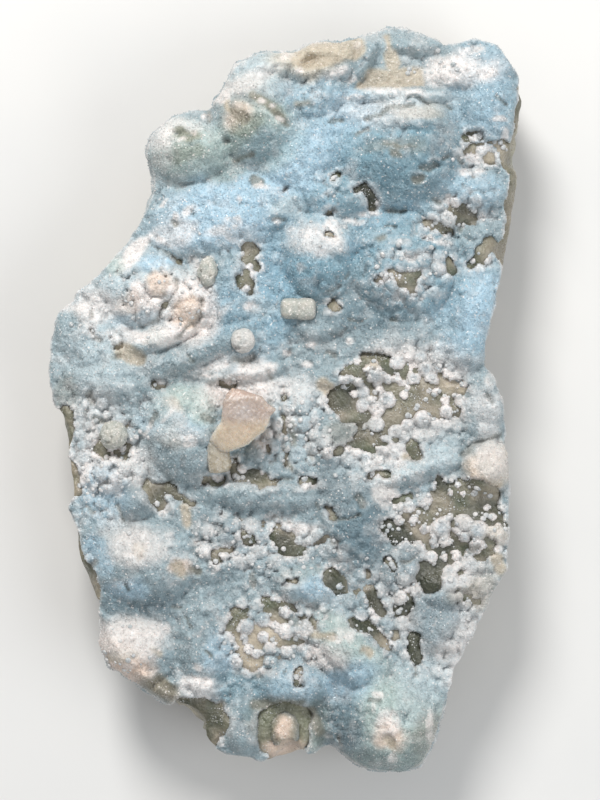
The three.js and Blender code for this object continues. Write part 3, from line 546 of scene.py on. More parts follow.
# places where the skin is closed although its beads are bold
FILLED = [
    (-13.6, 10.0, 5.6, 5.0, 0, 0.4), (-3.4, 0.6, 7.0, 2.0, 0, 0.8), (17.4, 32.8, 4.4, 2.0, 0, 0.8),
    (-16.4, -24.6, 4.4, 3.2, 0, 1.0), (13.6, -7.6, 5.6, 1.8, 12, 0.6), (19.6, -7.0, 2.6, 2.6, 0, 1.0),
    (-15.4, -10.4, 2.4, 2.4, 0, 0.8), (-15.2, -15.0, 3.0, 2.0, 0, 0.8), (3.4, 16.6, 3.4, 2.4, 0, 0.8),
    (-20.0, 8.4, 4.0, 3.4, 0, 0.6),
]
# places where beads stand far apart and the skin between them is thin
SPARSE = [
    (16.0, -11.8, 5.8, 4.4, 0, 1.0), (16.0, -16.8, 5.0, 2.2, 0, 1.0), (18.0, -20.2, 2.0, 2.2, 0, 0.8),
    (10.8, 1.0, 6.8, 3.8, 0, 0.9), (10.4, -4.6, 4.6, 1.8, 0, 0.7), (-1.4, -23.2, 4.8, 4.2, 0, 0.9),
    (-0.4, -13.6, 6.0, 2.4, 0, 0.7), (8.2, -21.6, 4.6, 3.2, -38, 0.9), (4.8, -17.6, 3.0, 2.2, 0, 0.8),
    (0.2, -5.6, 4.2, 2.6, 0, 0.5), (-19.2, -3.4, 3.4, 3.4, 0, 0.4), (18.6, 18.0, 3.4, 1.8, 0, 0.6),
    (11.2, 12.0, 2.4, 2.0, 0, 0.7), (-9.6, -10.0, 4.6, 2.0, 0, 0.6),
]


# %% Lay soft patches on the grid
def laid_over(patches, x, y):
    """How strongly a list of soft patches covers each place, from 0 to 1."""
    wx, wy = bent(x, y, 0.8, 2.5, 31)
    covered = np.zeros_like(x)
    for patch in patches:
        covered = np.maximum(covered, patch[5] * ramp(1.25 - reach_of(patch, wx, wy), 0, 0.6))
    return covered


sparse = laid_over(SPARSE, grid_x, grid_y)
smooth_growth = laid_over(SMOOTH, grid_x, grid_y) * (1 - 0.7 * sparse)
bold_growth = laid_over(BOLD, grid_x, grid_y) * (1 - 0.7 * smooth_growth)
print("smooth share:", round(float(smooth_growth[inside].mean()), 2))

# %% [markdown]
# ## Packing the balls
# Thousands of balls are thrown on the front, the largest first, and one that would sit too deep in another
# is left out. This is how a real botryoidal crust is packed. Where the growth is bold they are large and
# stand out.

# %% Balls whose places are known
SET_BALLS = [
    # x, y and radius on the sheet
    (487, 227, 9), (492, 256, 4), (482, 150, 6), (470, 158, 6), (480, 161, 5), (493, 148, 5), (502, 158, 7),
    (455, 203, 5), (380, 284, 4), (384, 275, 5), (400, 266, 7), (412, 268, 6), (391, 285, 6), (404, 293, 5),
    (418, 290, 5), (243, 267, 4), (250, 267, 4), (241, 274, 3), (254, 275, 5), (246, 289, 4), (257, 290, 3),
    (243, 295, 3), (253, 299, 4), (180, 286, 4), (277, 222, 4), (315, 160, 4), (313, 169, 3), (193, 441, 8),
    (204, 428, 6), (136, 501, 13), (157, 285, 10), (137, 292, 8), (146, 302, 9), (148, 317, 11),
    (120, 320, 13), (112, 288, 13), (155, 265, 9), (142, 265, 9), (190, 311, 11), (182, 298, 8),
    (174, 300, 6), (160, 338, 11), (138, 335, 8), (176, 329, 8), (188, 328, 6), (128, 306, 6),
    (111, 265, 8), (143, 246, 9), (126, 270, 7), (98, 332, 9), (116, 340, 6), (124, 278, 5), (166, 314, 5),
    (104, 348, 6), (84, 312, 9), (96, 303, 7), (98, 276, 5), (129, 252, 7), (106, 491, 7), (101, 503, 6),
    (114, 508, 5), (110, 515, 3), (118, 516, 3), (98, 512, 6), (88, 500, 6), (148, 501, 7), (150, 522, 5),
    (163, 516, 6), (171, 508, 6), (180, 505, 3), (192, 495, 7), (200, 512, 8), (213, 516, 6), (397, 362, 8),
    (388, 379, 5), (397, 378, 4), (388, 400, 8), (404, 395, 5), (362, 406, 7), (377, 410, 7), (376, 424, 8),
    (363, 425, 4), (347, 429, 6), (384, 438, 4), (422, 418, 8), (395, 431, 7), (407, 424, 6), (437, 425, 6),
    (430, 436, 6), (418, 436, 6), (445, 400, 5), (436, 392, 4), (452, 396, 5), (366, 368, 4), (454, 475, 5),
    (458, 485, 4), (463, 493, 4), (476, 508, 3), (487, 508, 4), (493, 517, 5), (505, 508, 5), (498, 525, 3),
    (450, 493, 3), (455, 505, 3), (410, 506, 6), (424, 500, 8), (398, 520, 5), (414, 520, 5), (424, 530, 5),
    (441, 527, 9), (455, 524, 9), (464, 522, 8), (478, 530, 9), (482, 542, 8), (505, 536, 9), (507, 548, 7),
    (455, 555, 5), (457, 566, 5), (470, 566, 8), (483, 568, 8), (432, 557, 6), (450, 582, 9), (465, 582, 8),
    (484, 586, 8), (418, 552, 9), (404, 548, 8), (412, 568, 8), (360, 574, 6), (376, 620, 5), (388, 624, 7),
    (402, 624, 7), (246, 627, 8), (263, 620, 8), (263, 637, 6), (270, 648, 6), (256, 654, 5), (286, 631, 8),
    (286, 612, 7), (303, 630, 9), (308, 612, 4), (308, 652, 7), (285, 677, 9), (297, 541, 4), (303, 546, 8),
    (290, 592, 10), (306, 586, 9), (252, 525, 8), (262, 536, 7), (262, 520, 7), (256, 452, 10),
    (270, 446, 8), (268, 462, 10), (276, 470, 8), (300, 440, 6), (298, 454, 8), (352, 482, 6),
    (366, 484, 6), (345, 545, 6), (310, 540, 4), (242, 530, 8), (232, 524, 8), (226, 540, 8), (340, 586, 4),
    (232, 440, 1),
]

# %% Windows that stay clear of balls
CLEARINGS = [
    (-0.2, -33.0, 4.4, 4.0, 0), (-8.8, -32.0, 3.6, 2.4, -20), (14.2, -17.9, 1.7, 1.6, 0),
    (12.8, -24.9, 0.9, 1.5, 0), (0.2, -14.0, 1.6, 0.9, 0), (4.8, -18.4, 1.0, 1.2, 0),
    (7.9, 20.4, 0.8, 1.4, 0), (17.0, 18.8, 1.2, 0.9, 0), (19.6, 15.2, 1.0, 1.0, 0),
    (9.0, -20.4, 0.9, 0.9, 0),
]


def outside_clearings(x, y):
    """One where balls may grow, and zero in the windows that stay quite bare."""
    share = np.ones(x.shape)
    for clearing in CLEARINGS:
        share = share * ramp(reach_of(clearing, x, y), 0.9, 1.1)
    return share


# %% Throw the balls and keep those that fit
BALLS_THROWN = 60000
SMALLEST, LARGEST = 0.24, 1.3
LEAST_APART = 0.86  # of the sum of two radii
random = np.random.default_rng(20)


def pack_balls():
    """Centres and radii of balls that touch and seldom overlap, and which of their places were known."""
    x = random.uniform(-REACH_X, REACH_X, BALLS_THROWN)
    y = random.uniform(-REACH_Y, REACH_Y, BALLS_THROWN)
    bold = sample(bold_growth, x, y)
    barren = sample(bare, x, y)
    size = random.beta(1.6, 3.0, BALLS_THROWN)
    radius = mix(0.34, 0.32, bold) + mix(0.22, 0.55, bold) * size
    radius = np.clip(mix(radius, 0.26 + 0.5 * size**1.5, barren), SMALLEST, LARGEST)
    likely = 0.2 ** sample(sparse, x, y) * mix(1, 0.1, barren) * outside_clearings(x, y)
    keep = (random.uniform(0, 1, BALLS_THROWN) < likely) & (sample(rim_distance, x, y) > 0.2 * radius)
    known = len(SET_BALLS)
    set_x, set_y, set_radius = np.array(SET_BALLS).T
    x[:known], y[:known] = on_sheet(np.stack([set_x, set_y], 1)).T
    radius[:known] = set_radius / 10
    order = [*range(known), *(k for k in np.argsort(-radius) if keep[k] and k >= known)]
    cell = 2 * LARGEST
    shelves, chosen = {}, []
    for k in order:
        column, row = int(x[k] // cell), int(y[k] // cell)
        near = (m for i in (-1, 0, 1) for j in (-1, 0, 1) for m in shelves.get((column + i, row + j), ()))
        if all(math.dist((x[k], y[k]), (x[m], y[m])) > LEAST_APART * (radius[k] + radius[m]) for m in near):
            shelves.setdefault((column, row), []).append(k)
            chosen.append(k)
    return x[chosen], y[chosen], radius[chosen], np.array(chosen) < known


ball_x, ball_y, ball_r, ball_known = pack_balls()
print("balls:", len(ball_x), "mean radius in mm:", round(float(ball_r.mean()), 2))

# %% Raise each ball on the grid
BALL_HEIGHT, BALL_FULLNESS = 0.62, 1.8


def steps_over(middle, span, start, count):
    """The grid steps within a span of a middle, along one side of the grid."""
    first, last = int((middle - span - start) / FINE), int((middle + span - start) / FINE) + 2
    return slice(max(0, first), min(count, last))


def raise_balls():
    """The balls' height over their feet, how near its ball's middle each place is, and a number per ball."""
    height, middle, number = np.full(grid_x.shape, -1.0), np.zeros(grid_x.shape), np.zeros(grid_x.shape)
    rows, columns = grid_x.shape
    whole = ball_known | (sample(window_core, ball_x, ball_y) > 0.3)
    for x, y, r, tag, alone in zip(ball_x, ball_y, ball_r, random.uniform(0, 1, len(ball_x)), whole):
        span = 1.15 * r
        here = steps_over(y, span, -REACH_Y, rows), steps_over(x, span, -REACH_X, columns)
        reach = np.hypot(grid_x[here] - x, grid_y[here] - y) / (1.12 * r)
        high = BALL_HEIGHT * (1 - math.exp(-BALL_FULLNESS * r))
        dome = np.where(reach < 1, high * np.minimum(1, np.sqrt(np.clip(1 - reach**2, 0, 1)) / 0.8), -1)
        if not alone:
            dome = np.where(window_core[here] > 0.5, -1, dome)
        higher = dome > height[here]
        for field, value in ((height, dome), (middle, 1 - reach), (number, np.full(dome.shape, tag))):
            field[here][higher] = value[higher]
    return height, middle, number


ball_height, ball_middle, ball_tag = raise_balls()
print("share of the front under a ball:", round(float((ball_height[inside] > 0).mean()), 2))

# %% [markdown]
# ## The front's two faces
# The stone's face and the crust's face are a few formulas: the crown, the swellings, a drop where the crust
# rolls over the edge, and the crust's thickness between them.

# %% The front's height and the stone's face
ROLLED_OVER = 3.4
ROUNDED_RIM = 0.35
SHOULDER_DROP = 1.9
whole_crust = CRUST_LEAST + (1 - SHARE_IN_STONE) * relief
seen = np.where(crust_seen > 0, crust_seen, np.where(stone_seen > 0, stone_seen + whole_crust, 0))
solid_front = blurred(seen, 10) / np.maximum(blurred((seen > 0).astype(float), 10), 0.05)
formula = crown(grid_x, grid_y) + relief
drop = rolled * ramp(ROLLED_OVER - rim_distance, 0, 1.6) * np.clip(formula - solid_front, 0, 9)
undulation = 0.42 * grid_rough(4.4, 141) + 0.12 * grid_rough(1.9, 145)
front = formula + undulation - drop - ROUNDED_RIM * np.exp(-np.maximum(rim_distance, 0) / 0.4)
shallow = blurred(np.maximum(bare, 0.8 * sparse), 4)
full = whole_crust * mix(1, 0.45, shallow)
stone_face = front - full + 0.1 * grid_rough(1.4, 43) + 0.2 * bare * grid_rough(2.6, 44)
stone_face = stone_face - SHOULDER_DROP * ramp(setback - rim_distance, 0, 1.5)
print("deepest drop at a rolled edge in mm:", round(float(drop[inside].max()), 2))

# %% [markdown]
# ## The crust's thickness
# The skin and the balls together give a thickness at each place. Where it is above zero there is crust.
# Where it falls below zero the stone shows, so the ragged, scalloped edges of the bare patches come by
# themselves.


# %% Knobs of a middle size
def domes(x, y, width, seed):
    """Rounded knobs, one for each cell of the given width: height from 0 to 1."""
    i, j = np.floor(x / width).astype(np.int64), np.floor(y / width).astype(np.int64)
    nearest = np.full(x.shape, 9.0)
    for column, row in ((i + di, j + dj) for di in (-1, 0, 1) for dj in (-1, 0, 1)):
        away_x = x / width - column - 0.5 - 0.7 * (scatter(column, row, 0 * row, seed) - 0.5)
        away_y = y / width - row - 0.5 - 0.7 * (scatter(column, row, 0 * row, seed + 1) - 0.5)
        nearest = np.minimum(nearest, np.hypot(away_x, away_y))
    return np.sqrt(np.clip(1 - (nearest / 0.8) ** 2, 0, 1))


def middle_knobs(x, y):
    """Two layers of knobs, between a swelling and a single ball in size."""
    x, y = bent(x, y, 0.5, 1.8, 47)
    return 0.42 * domes(x, y, 2.4, 45) + 0.26 * domes(x, y, 1.15, 46)


knobs = middle_knobs(grid_x, grid_y)
print("middle knobs, highest in mm:", round(float(knobs.max()), 2))

# %% Thickness of the crust
THIN_SHARE, CRACK_SHARE = 0.64, 0.34
GRAIN = 0.06
cover = 0.72 + 0.4 * smooth_growth - 0.34 * bold_growth + 0.28 * grid_rough(1.6, 41)
cover = cover + 0.4 * laid_over(FILLED, grid_x, grid_y) - 0.24 * sparse
skin = full * mix(-0.5, 0.72, np.clip(cover, 0, 1) * (1 - bare))
lumps = (knobs - 0.25) * (1 - bare)
ball_foot = full * mix(mix(mix(0.22, 0.54, smooth_growth), 0.0, sparse), -0.12, bare) + 0.2 * (ball_tag - 0.5)
ball_top = np.where(ball_height > 0, ball_foot + ball_height * mix(0.95, 0.75, smooth_growth), -1)
thickness = np.maximum(skin, ball_top) + lumps * mix(0.5, 1.2, smooth_growth)
thickness = np.minimum(thickness, full * 1.1 + 0.3)
thin_film = full * (THIN_SHARE + 0.12 * grid_rough(2.4, 55)) + 0.1 * grid_rough(0.8, 56, 2)
thickness = mix(thickness, thin_film, 0.85 * thin) - CRACK_SHARE * full * cracked
thickness = thickness + GRAIN * grid_rough(0.55, 51, 2)

# %% Clear away crumbs and pinholes, and set the ball in the hollow at the foot
share_around = blurred((thickness > 0).astype(float), 2)
thickness = np.where((thickness > 0) & (share_around < 0.42), -0.05, thickness)
thickness = np.where((thickness <= 0) & (share_around > 0.66), 0.06, thickness)
FOOT_BALL = (-0.3, -33.3, 1.5, 2.0, 0)
FOOT_BALL_HIGH = 1.5
foot_reach = reach_of(FOOT_BALL, grid_x, grid_y)
foot_ball = FOOT_BALL_HIGH * np.sqrt(np.clip(1 - foot_reach**2, 0, 1)) - 0.2
thickness = np.where(foot_reach < 1.5, foot_ball, thickness)
print("crust covers", round(float((thickness[inside] > 0).mean()), 2), "of the front")

# %% [markdown]
# ## From a grid to a mesh
# A mesh that keeps whole grid squares would have stepped edges. Here each grid point near an edge is first
# moved onto it, and only then are the triangles inside kept, which gives smooth edges with no extra points.


# %% Cut a flat mesh out of a grid
def snapped_to_edge(x, y, field):
    """The grid's points, those near the field's zero moved onto it, and 1 inside, 0 on it and -1 outside."""
    rows, columns = field.shape
    at_x, at_y = x.copy(), y.copy()
    state = np.where(field > 0, 1, -1)
    nearest = np.where(field > 0, 0.4999, 0.5001)
    for dj, di in ((-1, -1), (-1, 0), (-1, 1), (0, -1), (0, 1), (1, -1), (1, 0), (1, 1)):
        a = (slice(max(0, -dj), rows - max(0, dj)), slice(max(0, -di), columns - max(0, di)))
        b = (slice(max(0, dj), rows - max(0, -dj)), slice(max(0, di), columns - max(0, -di)))
        here, there = field[a], field[b]
        crosses = (here > 0) != (there > 0)
        share = np.where(crosses, np.abs(here) / (np.abs(here) + np.abs(there) + 1e-9), 1)
        closer = share < nearest[a]
        nearest[a] = np.where(closer, share, nearest[a])
        at_x[a] = np.where(closer, mix(x[a], x[b], share), at_x[a])
        at_y[a] = np.where(closer, mix(y[a], y[b], share), at_y[a])
        state[a] = np.where(closer, 0, state[a])
    return at_x, at_y, state


# %% Keep the triangles inside the edge
def border_of(triangles):
    """Edges that only one triangle has, in that triangle's direction."""
    edges = np.concatenate([triangles[:, [0, 1]], triangles[:, [1, 2]], triangles[:, [2, 0]]])
    size = int(triangles.max()) + 1
    return edges[~np.isin(edges[:, 0] * size + edges[:, 1], edges[:, 1] * size + edges[:, 0])]


def grid_triangles(rows, columns):
    """Two triangles for each square of a grid, their diagonals turned one way and the other by turns."""
    index = np.arange(rows * columns).reshape(rows, columns)
    a, b, c, d = index[:-1, :-1], index[:-1, 1:], index[1:, 1:], index[1:, :-1]
    even = (np.add.outer(np.arange(rows - 1), np.arange(columns - 1)) % 2 == 0)[..., None]
    first = np.where(even, np.stack([a, b, c], -1), np.stack([a, b, d], -1))
    second = np.where(even, np.stack([a, c, d], -1), np.stack([b, c, d], -1))
    return np.concatenate([first.reshape(-1, 3), second.reshape(-1, 3)])


def cut_out(x, y, field):
    """The part of a grid with a field above 0: points, triangles, border and a coarser twin's points."""
    at_x, at_y, state = snapped_to_edge(x, y, field)
    triangles = grid_triangles(*field.shape)
    corner = state.ravel()[triangles]
    triangles = triangles[(corner.min(1) >= 0) & (corner.max(1) > 0)]
    while True:
        border = border_of(triangles)
        pinched = np.flatnonzero(np.bincount(border[:, 0], minlength=field.size) > 1)
        if not len(pinched):
            break
        triangles = triangles[~np.isin(triangles, pinched).any(1)]
    inner = np.zeros(field.size, bool)
    inner[triangles.ravel()] = True
    inner[border.ravel()] = False
    stands_for = block_centres(inner.reshape(field.shape))
    used, renumbered = np.unique(triangles, return_inverse=True)
    place = np.full(field.size, -1)
    place[used] = np.arange(len(used))
    points = np.stack([at_x.ravel()[used], at_y.ravel()[used]], 1)
    return points, renumbered.reshape(-1, 3), place[border], place[stands_for[used]]


def block_centres(inner):
    """For each grid point, the middle of its block of nine where that lies well inside, or else itself."""
    rows, columns = inner.shape
    stands_for = np.arange(rows * columns).reshape(rows, columns)
    clear = np.ones_like(inner)
    for shift in ((dj, di) for dj in range(-2, 3) for di in range(-2, 3)):
        clear &= np.roll(inner, shift, (0, 1))
    j, i = np.nonzero(clear)
    middle = (j % 3 == 1) & (i % 3 == 1)
    j, i = j[middle], i[middle]
    for dj in (-1, 0, 1):
        for di in (-1, 0, 1):
            stands_for[j + dj, i + di] = j * columns + i
    return stands_for.ravel()


# %% Close a front and a back with a wall
def shell(cut, top, back, on_rim, wall, levels, coarse_back):
    """A closed mesh of a front, a back and a wall. Gives its points and faces, and for each point the flat
    point it came from and its depth from 0 at the front to 1 at the back."""
    points, triangles, border, stands_for = cut
    count = len(points)
    on_border = np.zeros(count, bool)
    on_border[border.ravel()] = True
    rim = np.flatnonzero(on_border & on_rim)
    front_points = np.column_stack([points, top])
    column = np.repeat(np.arange(count)[:, None], levels + 1, 1)
    column[:, levels] += count
    parts, flat, depth = [front_points, back], [np.arange(count)] * 2, [np.zeros(count), np.ones(count)]
    for level in range(1, levels):
        column[rim, level] = 2 * count + (level - 1) * len(rim) + np.arange(len(rim))
        parts.append(wall(front_points[rim], back[rim], level / levels))
        flat.append(rim)
        depth.append(np.full(len(rim), level / levels))
    a, b = border.T
    under = stands_for[triangles] if coarse_back else triangles
    faces = [triangles, under[:, ::-1] + count]
    for level in range(levels):
        faces.append(np.stack([column[a, level], column[a, level + 1], column[b, level + 1]], 1))
        faces.append(np.stack([column[a, level], column[b, level + 1], column[b, level]], 1))
    faces = np.concatenate(faces)
    faces = faces[(faces[:, 0] != faces[:, 1]) & (faces[:, 1] != faces[:, 2]) & (faces[:, 2] != faces[:, 0])]
    used, faces = np.unique(faces, return_inverse=True)
    vertices, flat, depth = np.concatenate(parts), np.concatenate(flat), np.concatenate(depth)
    return vertices[used], faces.reshape(-1, 3), flat[used], depth[used]


# %% Make a Blender mesh from arrays
def placed(name, data):
    """A new object for a mesh, a light or a camera, linked to the scene."""
    item = bpy.data.objects.new(name, data)
    bpy.context.scene.collection.objects.link(item)
    return item


def make_piece(name, vertices, faces):
    """A piece from points in millimetres and triangles."""
    mesh = bpy.data.meshes.new(name)
    mesh.vertices.add(len(vertices))
    mesh.vertices.foreach_set("co", (vertices * MM).astype(np.float32).ravel())
    mesh.loops.add(faces.size)
    mesh.loops.foreach_set("vertex_index", faces.astype(np.int32).ravel())
    mesh.polygons.add(len(faces))
    mesh.polygons.foreach_set("loop_start", np.arange(0, faces.size, 3, dtype=np.int32))
    mesh.update(calc_edges=True)
    mesh.shade_smooth()
    print(f"{name}: {len(faces)} triangles")
    return placed(name, mesh)


def paint(piece, name, values):
    """Stores a colour, or one number, for each vertex."""
    if values.ndim == 2:
        values = np.column_stack([values, np.ones(len(values))])
    kind, field = ("FLOAT_COLOR", "color") if values.ndim == 2 else ("FLOAT", "value")
    layer = piece.data.attributes.new(name, kind, "POINT")
    layer.data.foreach_set(field, values.astype(np.float32).ravel())


# %% [markdown]
# ## Colours
# A handful of named colours, as a painter would mix them for this stone. They are given as screen colours
# and turned into the linear light that Blender works in. Soft patches of them are laid over each other on
# the front.


# %% The palette
def pigment(red, green, blue):
    """A linear colour from a screen colour of 0 to 255."""
    c = np.array([red, green, blue]) / 255
    return np.where(c <= 0.04045, c / 12.92, ((c + 0.055) / 1.055) ** 2.4)


SKY = pigment(162, 189, 204)
MID_SKY = pigment(146, 173, 187)
VALLEY = pigment(130, 162, 178)
AZURE = pigment(118, 152, 166)
TEAL = pigment(140, 157, 163)
DEEP_TEAL = pigment(92, 116, 126)
AQUA = pigment(166, 182, 178)
PALE = pigment(178, 192, 197)
WHITE = pigment(229, 222, 218)
FROST = pigment(204, 200, 197)
PEACH = pigment(216, 194, 178)
BEIGE = pigment(188, 176, 157)
GREY_BLUE = pigment(122, 137, 143)
MILKY_BLUE = pigment(156, 173, 182)
TAN = pigment(213, 193, 176)
OLIVE = pigment(120, 115, 99)
GREEN_OLIVE = pigment(116, 120, 100)
GREEN_GREY = pigment(126, 143, 141)
MOSS = pigment(44, 50, 34)
DARK_OLIVE = pigment(52, 56, 42)
SAND = pigment(146, 138, 122)

